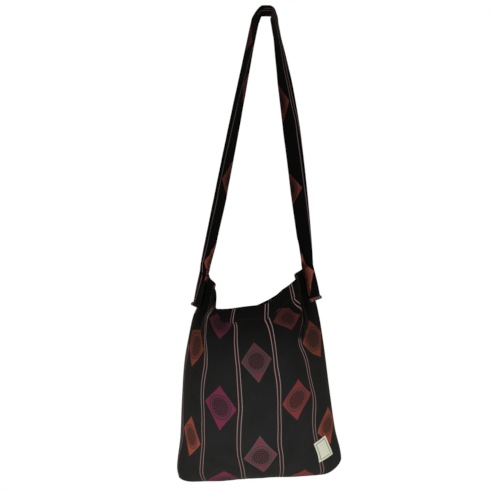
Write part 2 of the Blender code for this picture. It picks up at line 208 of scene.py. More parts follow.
# Where the hanging cloth carries the pattern: share across the front panel and height, for the
# stripe pairs from left to right
STRIPE_MARKS = (
    ((0.025, 0.235), (0.023, 0.190), (0.038, 0.147), (0.054, 0.103), (0.018, 0.050), (0.010, 0.022)),
    ((0.200, 0.350), (0.178, 0.328), (0.173, 0.313), (0.178, 0.290), (0.206, 0.272), (0.225, 0.234),
     (0.211, 0.200), (0.211, 0.161), (0.213, 0.115), (0.207, 0.062), (0.162, 0.002)),
    ((0.365, 0.319), (0.386, 0.307), (0.391, 0.285), (0.399, 0.264), (0.412, 0.233), (0.415, 0.213),
     (0.420, 0.170), (0.413, 0.127), (0.402, 0.074), (0.406, 0.046), (0.407, 0.004)),
    ((0.567, 0.322), (0.584, 0.315), (0.601, 0.287), (0.611, 0.259), (0.614, 0.228), (0.621, 0.202),
     (0.621, 0.154), (0.613, 0.111), (0.607, 0.067), (0.616, 0.036), (0.640, 0.003)),
    ((0.770, 0.353), (0.791, 0.343), (0.822, 0.334), (0.833, 0.326), (0.818, 0.317), (0.787, 0.291),
     (0.771, 0.274), (0.772, 0.264), (0.787, 0.248), (0.802, 0.226), (0.805, 0.205), (0.816, 0.176),
     (0.817, 0.140), (0.804, 0.115), (0.805, 0.082), (0.843, 0.023), (0.896, 0.002)),
)

# The same for the diamonds, by column from the middle one and half repeats from the first row:
# part of the diamond as steps to its side and down, share across the panel and height
DIAMOND_MARKS = {
    (0, 0): ((0, 0, 0.510, 0.241), (0, -1, 0.497, 0.277), (1, 0, 0.594, 0.243), (0, 1, 0.519, 0.198),
             (-1, 0, 0.427, 0.239)),
    (0, 2): ((0, 0, 0.509, 0.053), (0, -1, 0.511, 0.096), (1, 0, 0.595, 0.057), (0, 1, 0.524, 0.019),
             (-1, 0, 0.419, 0.051)),
    (-1, 1): ((0, 0, 0.318, 0.155), (0, -1, 0.314, 0.196), (1, 0, 0.401, 0.148), (0, 1, 0.307, 0.109),
              (-1, 0, 0.227, 0.167)),
    (-1, -1): ((0, 0, 0.277, 0.315), (1, 0, 0.367, 0.314), (0, 1, 0.292, 0.286), (-1, 0, 0.163, 0.331)),
    (-1, 3): ((0, -1, 0.310, 0.026), (0, -0.5, 0.300, 0.014), (-0.5, -0.5, 0.235, 0.014),
              (0.5, -0.5, 0.350, 0.016)),
    (1, -1): ((0, 0, 0.716, 0.317), (-1, 0, 0.612, 0.313), (0, 1, 0.726, 0.296), (1, 0, 0.795, 0.322),
              (-0.5, -0.5, 0.657, 0.334), (0, -1, 0.716, 0.350), (0.5, 0.5, 0.762, 0.305)),
    (1, 1): ((0, 0, 0.710, 0.160), (0, -1, 0.734, 0.200), (1, 0, 0.806, 0.170), (0, 1, 0.707, 0.120),
             (-1, 0, 0.632, 0.153)),
    (1, 3): ((0, -1, 0.757, 0.018), (-0.5, -0.5, 0.694, 0.006), (0.5, -0.5, 0.826, 0.007)),
    (-2, 0): ((0, 0, 0.123, 0.270), (0, -1, 0.095, 0.318), (0.5, -0.5, 0.168, 0.289), (1, 0, 0.198, 0.266),
              (0, 1, 0.112, 0.233), (0.5, 0.5, 0.160, 0.247), (-1, 0, 0.045, 0.270),
              (-0.5, -0.5, 0.030, 0.300), (-0.5, 0.5, 0.089, 0.248)),
    (-2, 2): ((0, 0, 0.138, 0.096), (0, -1, 0.138, 0.136), (-1, 0, 0.066, 0.112), (1, 0, 0.198, 0.081),
              (0, 1, 0.128, 0.057)),
    (2, 0): ((0, 0, 0.893, 0.273), (0, -1, 0.902, 0.311), (-1, 0, 0.783, 0.266), (0, 1, 0.934, 0.235),
             (-0.5, -0.5, 0.824, 0.290), (-0.5, 0.5, 0.854, 0.245)),
    (2, 2): ((0, 0, 0.895, 0.101), (0, -1, 0.928, 0.137), (-1, 0, 0.818, 0.090), (0, 1, 0.897, 0.065)),
}

# Along the side seams: heights, and millimetres across the pattern at the left and the right one
EDGE_HEIGHTS = (0.02, 0.10, 0.20, 0.30, 0.40)
EDGE_ACROSS = (-207.0, 196.5)

# Across the hem band, which is a strip of its own: share across the panel, and millimetres of pattern
HEM_PATTERN = ((0.00, -207.0), (0.02, -197.8), (0.19, -117.8), (0.357, -37.6), (0.569, 42.6),
               (0.774, 122.8), (1.00, 200.0))

# Where the left flap's cloth lies in the pattern: share across, height and millimetres across
FLAP_MARKS = ((0.186, 0.366, -140.0), (0.170, 0.374, -150.0), (0.120, 0.388, -163.0), (0.150, 0.345, -140.0))

# Height under which the diamonds show: higher up they are folded away in the hem or in a crease
FIGURES_FROM = ((0.000, 0.3020), (0.060, 0.3035), (0.130, 0.3050), (0.145, 0.3300), (0.170, 0.3400),
                (0.225, 0.3370), (0.245, 0.3360), (0.262, 0.3300), (0.290, 0.3190), (0.330, 0.3170),
                (0.380, 0.3170), (0.580, 0.3215), (0.620, 0.3340), (0.660, 0.3395), (0.800, 0.3380),
                (0.840, 0.3300), (1.000, 0.3300))

# Tips of an orange diamond that show on the turned edge of the rim: share across, depth below the
# rim, and their half sizes in metres
EDGE_TIPS = ((0.125, 0.003, 0.0050, 0.0055), (0.895, 0.003, 0.0040, 0.0045))

# Painted light level on the panels by height: painted shade darkens the cloth from one on the belly to near
# nought at the mouth
PANEL_PAINTED_LIGHT_LEVEL = ((0.015, 1.0), (0.100, 0.93), (0.160, 0.82), (0.215, 0.66), (0.240, 0.57), (0.260, 0.46),
              (0.285, 0.33), (0.305, 0.22), (0.335, 0.10), (0.420, 0.06))

# Painted shade in creases so deep that no light gets in: from and to as share across and height,
# half width in metres, and how dark
CREASES = {
    "front": (
        (0.862, 0.372, 0.850, 0.340, 0.0060, 0.97), (0.850, 0.340, 0.828, 0.308, 0.0052, 0.97),
        (0.826, 0.322, 0.778, 0.281, 0.0055, 0.94), (0.105, 0.372, 0.130, 0.330, 0.0075, 0.95),
        (0.130, 0.330, 0.150, 0.318, 0.0050, 0.80), (0.196, 0.364, 0.203, 0.348, 0.0065, 0.93),
    ),
    "back": (),
}

# On the strap: height below the loop's top, and how far the middle of its stripe pair lies to the
# right of the strap's middle as seen from outside with the left arm's foot down, in millimetres
STRAP_DRIFT = {
    "left": ((-0.600, -12.0), (-0.540, -13.0), (-0.505, -16.5), (-0.470, -14.0), (-0.377, -11.5),
             (-0.271, -9.5), (-0.252, -8.5), (-0.224, -7.6), (-0.199, -6.0), (-0.173, -3.6), (-0.146, 0.4),
             (-0.115, 4.8), (-0.097, 6.6), (-0.083, 9.8), (-0.066, 15.0), (-0.051, 18.9), (-0.030, 24.0)),
    "right": ((-0.600, -25.0), (-0.530, -25.0), (-0.449, -20.0), (-0.395, -18.0), (-0.351, -16.0),
              (-0.289, -14.5), (-0.217, -12.6), (-0.191, -10.0), (-0.129, -6.5), (-0.075, -8.1),
              (-0.021, -5.0), (0.0, -2.2)),
}

# By height on the strap: how many millimetres of the pattern one millimetre of its width takes
STRAP_SPREAD = {
    "left": ((-0.535, 1.0), (-0.515, 1.4), (-0.460, 1.4), (-0.400, 1.0), (-0.375, 1.0), (-0.350, 1.3),
             (-0.300, 1.3), (-0.270, 1.0), (-0.200, 1.0), (-0.178, 1.8), (-0.120, 1.8), (-0.090, 1.0)),
    "right": ((-0.250, 1.0), (-0.230, 1.4), (-0.140, 1.4), (-0.110, 1.0)),
}

# By height on the strap: how many millimetres down the pattern its cloth lies
STRAP_REPEATS = {
    "left": ((-0.600, -640.0), (-0.501, -555.0), (-0.335, -370.0), (-0.145, -185.0), (0.0, -25.0)),
    "right": ((-0.600, 632.0), (-0.523, 555.0), (-0.353, 370.0), (-0.179, 185.0), (0.0, -5.0)),
}

# By height on the strap: its painted light level and how bright its stripes are drawn, from nought to one;
# both are painted shade that darkens the strap higher up
STRAP_PAINTED_LIGHT_LEVEL = ((-0.600, 0.70), (-0.520, 0.70), (-0.470, 0.35), (-0.350, 0.13), (-0.100, 0.08), (0.000, 0.10))
STRAP_LINE_TONE = ((-0.600, 0.80), (-0.520, 0.65), (-0.450, 0.32), (-0.250, 0.34), (-0.150, 0.40),
                   (0.000, 0.30))

# Height at which each arm bends over the rim
STRAP_BEND_HEIGHT = {"left": -0.527, "right": -0.509}


def from_hex(code):
    """Linear colour from an sRGB hex code."""
    values = [int(code[i:i + 2], 16) / 255.0 for i in (0, 2, 4)]
    return tuple(v / 12.92 if v <= 0.04045 else ((v + 0.055) / 1.055) ** 2.4 for v in values) + (1.0,)


def colour_property(label, text, code):
    return FloatVectorProperty(name=label, description=text, subtype="COLOR", size=4, min=0.0, max=1.0,
                               default=from_hex(code))


class BookBagSizes(bpy.types.PropertyGroup):
    """Sizes that a user would change."""
    stitch_length: FloatProperty(name="Stitch Length", description="Length of one stitch", default=0.0032,
                                 min=0.001, max=0.01, unit="LENGTH")
    thread_width: FloatProperty(name="Thread Width", description="Diameter of the sewing thread",
                                default=0.0006, min=0.0002, max=0.002, unit="LENGTH")
    crumple: FloatProperty(name="Crumple", description="Height of the cloth's small random waves",
                           default=0.0007, min=0.0, max=0.003, unit="LENGTH")
    roll_lift: FloatProperty(name="Strap End Roll", default=0.0030, min=0.0, max=0.006, unit="LENGTH",
                             description="How far a strap end's turned edge stands out")


class BookBagColours(bpy.types.PropertyGroup):
    """Colours that a user would change."""
    ground: colour_property("Ground", "Black ground of the panels", "1f1f1f")
    # The strap is the same cotton as the panels: its darker ground is painted shade
    strap_shaded_ground: colour_property("Strap Ground", "Black ground of the strap", "040404")
    orange: colour_property("Orange Red", "Diamonds next to the side seams", "874034")
    magenta: colour_property("Magenta", "Diamonds left of the middle", "68293c")
    plum: colour_property("Plum", "Diamonds in the middle", "6a2f3c")
    crimson: colour_property("Crimson", "Diamonds right of the middle", "733033")
    pink_line: colour_property("Pink Stripe", "Left stripe of each pair", "926d6a")
    grey_line: colour_property("Grey Stripe", "Right stripe of each pair", "84716f")
    label: colour_property("Label", "Cream label tape", "c6c5b1")
    label_border: colour_property("Label Border", "Woven border of the label", "3f5040")
    thread: colour_property("Thread", "Sewing thread", "141414")
    floor: colour_property("Floor", "Studio floor", "e6e6e4")


# Shapes of the cloth, as in the part

def hermite(start, start_slope, end, end_slope, share):
    """Cubic between two values or points that leaves and arrives along the given slopes."""
    rest = share - 1.0
    return (
        start * ((1.0 + 2.0 * share) * rest * rest)
        + start_slope * (share * rest * rest)
        + end * (share * share * (3.0 - 2.0 * share))
        + end_slope * (share * share * rest)
    )


def smooth_between(places, values, place):
    """Value at a place along a smooth curve through the given values."""
    last = len(places) - 1
    place = min(max(place, places[0]), places[-1])
    low = max(i for i in range(last) if places[i] <= place or i == 0)

    def slope(i):
        before, after = max(i - 1, 0), min(i + 1, last)
        return (values[after] - values[before]) * (1.0 / (places[after] - places[before]))

    span = places[low + 1] - places[low]
    share = (place - places[low]) / span
    return hermite(values[low], slope(low) * span, values[low + 1], slope(low + 1) * span, share)


def read_table(table, place):
    """Value at a place in a table of places and values, straight between its rows."""
    return np.interp(place, *zip(*table))


def section_at(height):
    heights = [row.height for row in SECTIONS]
    return Section(*(smooth_between(heights, column, height) for column in zip(*SECTIONS)))


def rim_height(face, share):
    places, heights = zip(*RIM[face])
    return smooth_between(places, heights, share)


def bottom_height(share):
    rise = LEFT_CORNER_RISE if share < 0.5 else RIGHT_CORNER_RISE
    return rise * abs(2.0 * share - 1.0) ** CORNER_SHARPNESS


def fullness_at(share, height):
    closeness = 1.0 - min(max((height - bottom_height(share)) / BOTTOM_ROUND, 0.0), 1.0)
    return math.sqrt(1.0 - closeness * closeness)


def seam_point(side, height):
    row = section_at(height)
    return Vector((row.left if side == "left" else row.right, 0.0, height))


def seam_forward(side, height):
    """Level direction along the cloth, from the side seam to the front."""
    row = section_at(height)
    if side == "left":
        turn = math.radians(row.left_turn)
        return Vector((math.sin(turn), -math.cos(turn), 0.0))
    turn = math.radians(row.right_turn)
    return Vector((-math.sin(turn), -math.cos(turn), 0.0))


def seam_outward(side, height):
    """Direction square to the cloth at the side seam, out of the bag."""
    step = 0.002
    along = seam_point(side, height + step) - seam_point(side, height - step)
    forward = seam_forward(side, height)
    out = forward.cross(along) if side == "left" else along.cross(forward)
    return out.normalized()


def panel_section(face, height, fullness):
    """One panel's level section, from the left seam by its crown to the right seam."""
    row = section_at(height)
    reach = row.front if face == "front" else row.back
    toward = 1.0 if face == "front" else -1.0
    crown = Vector(((row.left + row.right) / 2.0, -toward * reach, height))
    crown_slope = Vector((ROUND_SLOPE * (row.right - row.left) / 2.0, 0.0, 0.0))
    leave = seam_forward("left", height) * toward
    arrive = -seam_forward("right", height) * toward
    start = seam_point("left", height) + leave * (SEAM_GAP / 2.0)
    end = seam_point("right", height) - arrive * (SEAM_GAP / 2.0)
    leave_slope, end_slope = leave * (ROUND_SLOPE * reach), arrive * (ROUND_SLOPE * reach)
    shares = [i / SECTION_SAMPLES for i in range(SECTION_SAMPLES + 1)]
    points = [hermite(start, leave_slope, crown, crown_slope, share) for share in shares[:-1]]
    points += [hermite(crown, crown_slope, end, end_slope, share) for share in shares]
    edge = toward * SEAM_GAP / 2.0
    for point in points:
        point.y = -edge + (point.y + edge) * fullness
    return points


def run_lengths(points):
    """How far along a chain of points each of them lies."""
    lengths = [0.0]
    for before, after in zip(points, points[1:]):
        lengths.append(lengths[-1] + (after - before).length)
    return lengths


def point_along(points, share):
    """Point at a share of the length of a chain of points."""
    lengths = run_lengths(points)
    target = share * lengths[-1]
    for i in range(1, len(points)):
        if lengths[i] >= target or i == len(points) - 1:
            span = lengths[i] - lengths[i - 1]
            return points[i - 1].lerp(points[i], (target - lengths[i - 1]) / span)
    return points[-1]


def cloth_point(face, share, height):
    """Point on a panel's inner side, before its folds."""
    return point_along(panel_section(face, height, fullness_at(share, height)), share)


def row_heights(face, share):
    """Heights down one column of cloth, from the rim over the hem to the bottom seam."""
    rim = rim_height(face, share)
    bottom = bottom_height(share)
    hem_height = HEM_DEPTH - HEM_STEP / 2.0
    heights = [rim - hem_height * i / (HEM_ROWS - 1) for i in range(HEM_ROWS)]
    hem_foot = rim - HEM_DEPTH - HEM_STEP / 2.0
    round_top = bottom + BOTTOM_ROUND
    for i in range(BODY_ROWS):
        heights.append(hem_foot + (round_top - hem_foot) * i / BODY_ROWS)
    for i in range(ROUND_ROWS + 1):
        angle = math.pi / 2.0 * (1.0 - i / ROUND_ROWS)
        heights.append(bottom + BOTTOM_ROUND * (1.0 - math.cos(angle)))
    return heights


def fold_offset(face, across, below_rim, crumple):
    """How far folds, dents and small waves push the cloth out at a place across it and below the rim."""
    offset = 0.0
    for fold in FOLDS[face]:
        run = min(below_rim / fold.length, 1.0)
        middle = fold.top + (fold.foot - fold.top) * run
        fade = math.cos(math.pi / 2.0 * run) ** 2
        offset += fold.depth * fade * math.exp(-(((across - middle) / fold.width) ** 2))
    for dent in DENTS[face]:
        side, down = (across - dent.across) / dent.half_across, (below_rim - dent.down) / dent.half_down
        offset += dent.depth * math.exp(-(side ** 2 + down ** 2))
    seed = 3.0 if face == "front" else 17.0
    broad = noise.noise(Vector((across * 14.0, below_rim * 9.0, seed)))
    fine = noise.noise(Vector((across * 55.0, below_rim * 34.0, seed + 5.0)))
    offset += crumple * (1.6 * broad + 0.5 * fine)
    if below_rim < HEM_DEPTH:
        pucker = noise.noise(Vector((across * 160.0, below_rim * 12.0, seed + 9.0)))
        offset += 0.7 * crumple * pucker * math.sin(math.pi * below_rim / HEM_DEPTH)
    from_seam = min(across, PANEL_WIDTH - across)
    return offset * (1.0 - math.exp(-((from_seam / (STRAP_WIDTH / 2.0)) ** 2)))


def cloth_normal(grid, row, column, face):
    """Direction out of the bag at one place of a grid of cloth points."""
    up = grid[max(row - 1, 0)][column] - grid[min(row + 1, len(grid) - 1)][column]
    across = grid[row][min(column + 1, len(grid[0]) - 1)] - grid[row][max(column - 1, 0)]
    out = across.cross(up)
    return out.normalized() if face == "front" else -out.normalized()


def seam_normal(grid, row, column):
    """Direction out of the bag at a seam, in the surface where the two panels meet."""
    last_row, last_column = len(grid) - 1, len(grid[0]) - 1
    side = {0: "left", last_column: "right"}.get(column)
    if side and row < last_row:
        return seam_outward(side, grid[row][column].z)
    before = grid[last_row][max(column - 1, 0)]
    after = grid[last_row][min(column + 1, last_column)]
    down = Vector((after.z - before.z, 0.0, before.x - after.x)).normalized()
    if side:
        down = (down + seam_outward(side, grid[row][column].z)).normalized()
    return down


def panel_surfaces(face, crumple):
    """Inner and outer points of a panel, as rows from the rim down, with each row's height."""
    shares = [i / PANEL_COLUMNS for i in range(PANEL_COLUMNS + 1)]
    heights = [row_heights(face, share) for share in shares]
    row_count = len(heights[0])
    base = [[cloth_point(face, share, heights[i][row]) for i, share in enumerate(shares)]
            for row in range(row_count)]
    inner, outer = [], []
    for row in range(row_count):
        line = []
        for i, share in enumerate(shares):
            below_rim = base[0][i].z - base[row][i].z
            push = fold_offset(face, share * PANEL_WIDTH, below_rim, crumple)
            line.append(base[row][i] + cloth_normal(base, row, i, face) * push)
        inner.append(line)
    for row in range(row_count):
        thickness = 2.0 * CLOTH if row < HEM_ROWS else CLOTH
        line = []
        for i in range(PANEL_COLUMNS + 1):
            at_seam = i in (0, PANEL_COLUMNS) or row == row_count - 1
            out = seam_normal(inner, row, i) if at_seam else cloth_normal(inner, row, i, face)
            line.append(inner[row][i] + out * thickness)
        outer.append(line)
    return inner, outer, heights


def to_hang_direction(direction):
    return Matrix.Rotation(-HANG_LEAN, 3, "Y") @ direction


def to_hang(point):
    """From the bag's own upright frame to where it hangs."""
    return BOTTOM_FROM_HANG + to_hang_direction(point)


# Pattern on the cloth

def thin_plate(points):
    """Thin plate kernel between rows of points."""
    squares = np.maximum((points ** 2).sum(-1), 1e-12)
    return 0.5 * squares * np.log(squares)


class Warp:
    """Smooth map from a place on the panel to a measure along the pattern, through given marks."""

    def __init__(self, marks, softness):
        shares, heights, values, weights = np.array(marks).T
        self.points = self.spread(shares, heights)
        count = len(marks)
        kernel = thin_plate(self.points[:, None] - self.points[None]) + np.diag(softness / weights)
        plane = np.hstack([np.ones((count, 1)), self.points])
        system = np.vstack([np.hstack([kernel, plane]), np.hstack([plane.T, np.zeros((3, 3))])])
        self.terms = np.linalg.solve(system, np.concatenate([values, np.zeros(3)]))

    @staticmethod
    def spread(shares, heights):
        """Places on the panel in tenths of a metre."""
        return np.stack([shares * PANEL_WIDTH, heights], axis=-1) * 10.0

    def at(self, shares, heights):
        places = self.spread(shares, heights)
        flat = places.reshape(-1, 2)
        result = np.empty(len(flat))
        for start in range(0, len(flat), 2000):
            part = flat[start:start + 2000]
            kernel = thin_plate(part[:, None] - self.points[None])
            result[start:start + 2000] = kernel @ self.terms[:-3] + self.terms[-3] + part @ self.terms[-2:]
        return result.reshape(places.shape[:-1])


def front_warps():
    """Maps from the front panel to millimetres across and down the pattern."""
    across, down = [], []
    for number, marks in enumerate(STRIPE_MARKS):
        for share, height in marks:
            across.append((share, height, COLUMN_MIDDLE + STRIPE_PERIOD * (number - 2.5), 1.0))
    for (column, half_rows), marks in DIAMOND_MARKS.items():
        middle = COLUMN_MIDDLE + STRIPE_PERIOD * column
        row = DIAMOND_ROW + half_rows * DIAMOND_REPEAT / 2.0
        for side, step, share, height in marks:
            across.append((share, height, middle + side * DIAMOND_HALF_WIDTH, 1.0))
            down.append((share, height, row + step * DIAMOND_HALF_HEIGHT, 1.0))
    across += [(share, height, value, 1.0) for share, height, value in FLAP_MARKS]
    for share, value in zip((0.0, 1.0), EDGE_ACROSS):
        across += [(share, height, value, 0.05) for height in EDGE_HEIGHTS]
    return Warp(across, 0.01), Warp(down, 0.01)


def ramp(low, high, value):
    """Straight rise from nought at the low value to one at the high value."""
    return np.clip((value - low) / (high - low), 0.0, 1.0)


def smooth_step(low, high, value):
    share = ramp(low, high, value)
    return share * share * (3.0 - 2.0 * share)


# Meshes

def make_object(name, points, faces, surfaces):
    """Smooth piece from points and faces, in the frame's own place."""
    mesh = bpy.data.meshes.new(name)
    mesh.from_pydata([tuple(point) for point in points], [], faces)
    mesh.validate()
    volume = 0.0
    for face in mesh.polygons:
        corners = [mesh.vertices[i].co for i in face.vertices]
        for b, c in zip(corners[1:], corners[2:]):
            volume += corners[0].dot(b.cross(c))
    if volume < 0.0:
        mesh.flip_normals()
    mesh.shade_smooth()
    mesh.set_sharp_from_angle(angle=math.radians(50.0))
    for surface in surfaces:
        mesh.materials.append(surface)
    piece = bpy.data.objects.new(name, mesh)
    bpy.context.scene.collection.objects.link(piece)
    return piece


def skin(rings, strips, shared=0):
    """Points and faces of the closed skin of a thin piece, from rings that run round its two sides.

    Strips across the thickness close the first and the last ring, and one face closes what is left
    of them. The two sides of a ring have no point in common, or share one at each edge.
    """
    size = len(rings[0])
    faces = []
    for i in range(len(rings) - 1):
        for k in range(size):
            after = (k + 1) % size
            faces.append([i * size + k, i * size + after, (i + 1) * size + after, (i + 1) * size + k])
    for start, turn in ((0, 1), ((len(rings) - 1) * size, -1)):
        for k in range(strips):
            over = size - 1 - k + shared
            corners = dict.fromkeys(start + corner % size for corner in (k, over, over - 1, k + 1))
            faces.append(list(corners)[::turn])
        rest = list(range(start + strips, start + size - strips + shared))
        if len(rest) > 2:
            faces.append(rest[::-turn])
    return [point for ring in rings for point in ring], faces


def set_uv(mesh, uv_of_face_corner):
    """Pattern map in metres, from a function of the face and the point."""
    layer = mesh.uv_layers.new(name="cloth")
    for face in mesh.polygons:
        for loop in face.loop_indices:
            vertex = mesh.loops[loop].vertex_index
            layer.data[loop].uv = uv_of_face_corner(face, vertex)


def add_measures(mesh, names):
    """One number per point under each name, for the materials to read."""
    for name in names:
        mesh.attributes.new(name, "FLOAT", "POINT")
    return [mesh.attributes[name].data for name in names]


def make_panel(face, surface, crumple):
    """Lofted shell of one panel: its inside, its rounded rim and its outside are one closed skin."""
    inner, outer, heights = panel_surfaces(face, crumple)
    rows, columns = len(inner), len(inner[0])
    shares = np.array([i / PANEL_COLUMNS for i in range(columns)])
    height_grid = np.array(heights).T
    rings = []
    for i in range(columns):
        ring = [to_hang(inner[row][i]) for row in range(rows - 1, -1, -1)]
        top_in, top_out = inner[0][i], outer[0][i]
        middle, half = (top_in + top_out) / 2.0, (top_out - top_in) / 2.0
        up = (inner[0][i] - inner[1][i]).normalized()
        for k in range(1, RIM_POINTS + 1):
            angle = math.pi * k / (RIM_POINTS + 1)
            ring.append(to_hang(middle - half * math.cos(angle) + up * (half.length * 0.8 * math.sin(angle))))
        ring += [to_hang(outer[row][i]) for row in range(rows)]
        rings.append(ring)
    ring_rows = list(range(rows - 1, -1, -1)) + [0] * RIM_POINTS + list(range(rows))
    size = len(rings[0])
    points, faces = skin(rings, rows - 1)
    piece = make_object(face + "_cloth", points, faces, [surface])

    if face == "front":
        across_map, down_map = front_warps()
        share_grid = np.broadcast_to(shares, height_grid.shape)
        body_u = across_map.at(share_grid, height_grid)
        body_v = down_map.at(share_grid, height_grid)
    else:
        body_u = np.broadcast_to((0.5 - shares) * PANEL_WIDTH * 1000.0, height_grid.shape)
        body_v = (height_grid[0] - height_grid) * 1000.0 + 20.0
    hem_line, own_strip = body_u[0] + 5.0, 1.0
    if face == "front":
        hem_line, own_strip = read_table(HEM_PATTERN, shares), smooth_step(0.22, 0.30, shares)
    hem_u = body_u + (hem_line - body_u) * own_strip
    mesh = piece.data
    hem_first, hem_last = rows - HEM_ROWS, rows + RIM_POINTS + HEM_ROWS

    def uv(polygon, vertex):
        column, place = divmod(vertex, size)
        row = ring_rows[place]
        places = [v % size for v in polygon.vertices]
        in_hem = min(places) >= hem_first and max(places) <= hem_last
        grid = hem_u if in_hem else body_u
        return grid[row][column] / 1000.0, body_v[row][column] / 1000.0

    set_uv(mesh, uv)
    figured, tips, painted_light_level, painted_crease_shade, line_tone = add_measures(
        mesh, ("figured", "tips", "painted_light_level", "painted_crease_shade", "line_tone"))
    for vertex in range(len(mesh.vertices)):
        column, place = divmod(vertex, size)
        share, height = shares[column], heights[column][ring_rows[place]]
        below_rim = heights[column][0] - height
        # Painted shade by height: the cloth and its stripes darken towards the mouth
        painted_light_level[vertex].value = read_table(PANEL_PAINTED_LIGHT_LEVEL, height)
        line_tone[vertex].value = 1.0 - 0.15 * ramp(0.24, 0.33, height)
        # Painted shade in the deep creases
        painted_crease_shade[vertex].value = crease_shade(face, share, height)
        if face == "front":
            figured[vertex].value = (read_table(FIGURES_FROM, share) - height) * 1000.0
            tips[vertex].value = edge_tip(share, below_rim)
        else:
            figured[vertex].value = (below_rim - HEM_DEPTH) * 1000.0
    return piece


def crease_shade(face, share, height):
    """How much painted shade from the deep creases near it darkens a place, from nought to one."""
    here = Vector((share * PANEL_WIDTH, height))
    left = 1.0
    for from_share, from_height, to_share, to_height, half_width, strength in CREASES[face]:
        start = Vector((from_share * PANEL_WIDTH, from_height))
        run = Vector((to_share * PANEL_WIDTH, to_height)) - start
        along = min(max((here - start).dot(run) / run.length_squared, 0.0), 1.0)
        away = (here - start - run * along).length
        left *= 1.0 - strength * math.exp(-((away / half_width) ** 4))
    return 1.0 - left


def edge_tip(share, below_rim):
    """Over nought inside one of the small tips of colour at the rim, and below it elsewhere."""
    nearest = min(math.hypot((share - at) * PANEL_WIDTH / half_across, (below_rim - down) / half_down)
                  for at, down, half_across, half_down in EDGE_TIPS)
    return 1.0 - nearest


# One place along the strap. Where skew is over nought, the strip's cross line leans that far from
# square to its run towards the direction given as edge, as cloth does where it is folded over.
StrapPoint = namedtuple("StrapPoint", "place facing curl gather edge skew",
                        defaults=(Vector((0.0, 0.0, 0.0)), 0.0))


def sewn_stations(side):
    """The strap's sewn end, flat on the outside of the side seam, from its end up to the rim."""
    seat = 2.0 * CLOTH + SEAM_GAP + STRAP_THICKNESS / 2.0
    rim = rim_height("front", 0.0 if side == "left" else 1.0)
    fold_top = STRAP_END_HEIGHT + STRAP_END_FOLD
    stations = []
    for height, curl, gather in ((STRAP_END_HEIGHT, 0.0, 0.0), (fold_top, 0.0, 0.0),
                                 (fold_top + HEM_STEP, 0.0, 0.05), (rim, ARM_CURL_AT_RIM, 0.7)):
        out = seam_outward(side, height)
        place = to_hang(seam_point(side, height) + out * seat)
        stations.append(StrapPoint(place, to_hang_direction(out), curl, gather))
    return stations


def arm_stations(side, foot):
    """The free arm of the strap, nearly straight from the rim to the loop at the top."""
    sign = -1.0 if side == "left" else 1.0
    stations = []
    for arm in ARMS[side]:
        turn = math.radians(arm.turn)
        facing = Vector((sign * math.sin(turn), -math.cos(turn), 0.0))
        bow = Vector((sign * ARM_BOW[side] * math.sin(math.pi * arm.share), 0.0, 0.0))
        gather = max(0.0, 1.0 - arm.share / 0.28)
        stations.append(StrapPoint(foot.lerp(ARM_TOP[side], arm.share) + bow, facing, arm.curl, gather))
    return stations


def loop_stations():
    """The top of the loop: a short flat stretch turned to the front, with a folded bend at each end."""
    up = Vector((0.0, -math.sin(LOOP_LEAN), math.cos(LOOP_LEAN)))
    rise = up * (STRAP_THICKNESS / 2.0)
    stations = []
    for side in ("left", "right"):
        down_arm = ARM_TOP_FACING[side].normalized()
        half = [
            StrapPoint(ARM_TOP[side], down_arm, 0.0, 0.0),
            StrapPoint(LOOP_BEND[side] + rise, (up * 0.35 + down_arm).normalized(), 0.0, 0.0,
                       LOOP_BEND_EDGE[side].normalized(), 1.0),
            StrapPoint(LOOP_SHOULDER[side] + rise, (up + down_arm * 0.25).normalized(), 0.0, 0.0,
                       LOOP_SHOULDER_EDGE[side].normalized(), 1.0),
            StrapPoint(Vector((LOOP_FLAT_END[side], 0.0, 0.0)) + rise, up, 0.0, 0.0,
                       Vector((1.0, 0.0, 0.0)).cross(up), 1.0),
        ]
        stations += half if side == "left" else half[::-1]
    return stations


def strap_route():
    """Stations of the strap from its left end to its right end, evenly filled in between."""
    marks = []
    for side in ("left", "right"):
        sewn = sewn_stations(side)
        half = sewn + arm_stations(side, sewn[-1].place)
        marks += half + loop_stations() if side == "left" else half[::-1]
    distances = run_lengths([mark.place for mark in marks])
    route = []
    for i in range(len(marks) - 1):
        span = distances[i + 1] - distances[i]
        pitch = SEWN_END_PITCH if i in (0, len(marks) - 2) else STRAP_PITCH
        steps = max(1, math.ceil(span / pitch))
        for step in range(steps):
            route.append(station_between(marks, distances, i, step / steps))
    route.append(marks[-1])
    return route


def station_between(marks, distances, low, share):
    """Station at a share of the way from one mark of the strap's route to the next."""
    before, after = marks[low], marks[low + 1]
    place = distances[low] + (distances[low + 1] - distances[low]) * share
    point = smooth_between(distances, [mark.place for mark in marks], place)
    edge_before = before.edge if before.skew else after.edge
    edge_after = after.edge if after.skew else before.edge
    curl, gather, skew = (start + (end - start) * share for start, end in (
        (before.curl, after.curl), (before.gather, after.gather), (before.skew, after.skew)))
    return StrapPoint(point, before.facing.lerp(after.facing, share).normalized(), curl, gather,
                      edge_before.lerp(edge_after, share), skew)


def strap_side(offset):
    """Half thickness of the folded strip at a place across it: soft round edges and a stitched groove."""
    edge = min(abs(offset) / (STRAP_WIDTH / 2.0), 1.0)
    body = (1.0 - edge ** 9) ** 0.5
    groove = math.exp(-((abs(offset) - GROOVE_PLACE) / GROOVE_WIDTH) ** 2)
    return STRAP_THICKNESS / 2.0 * (body - 0.16 * groove)


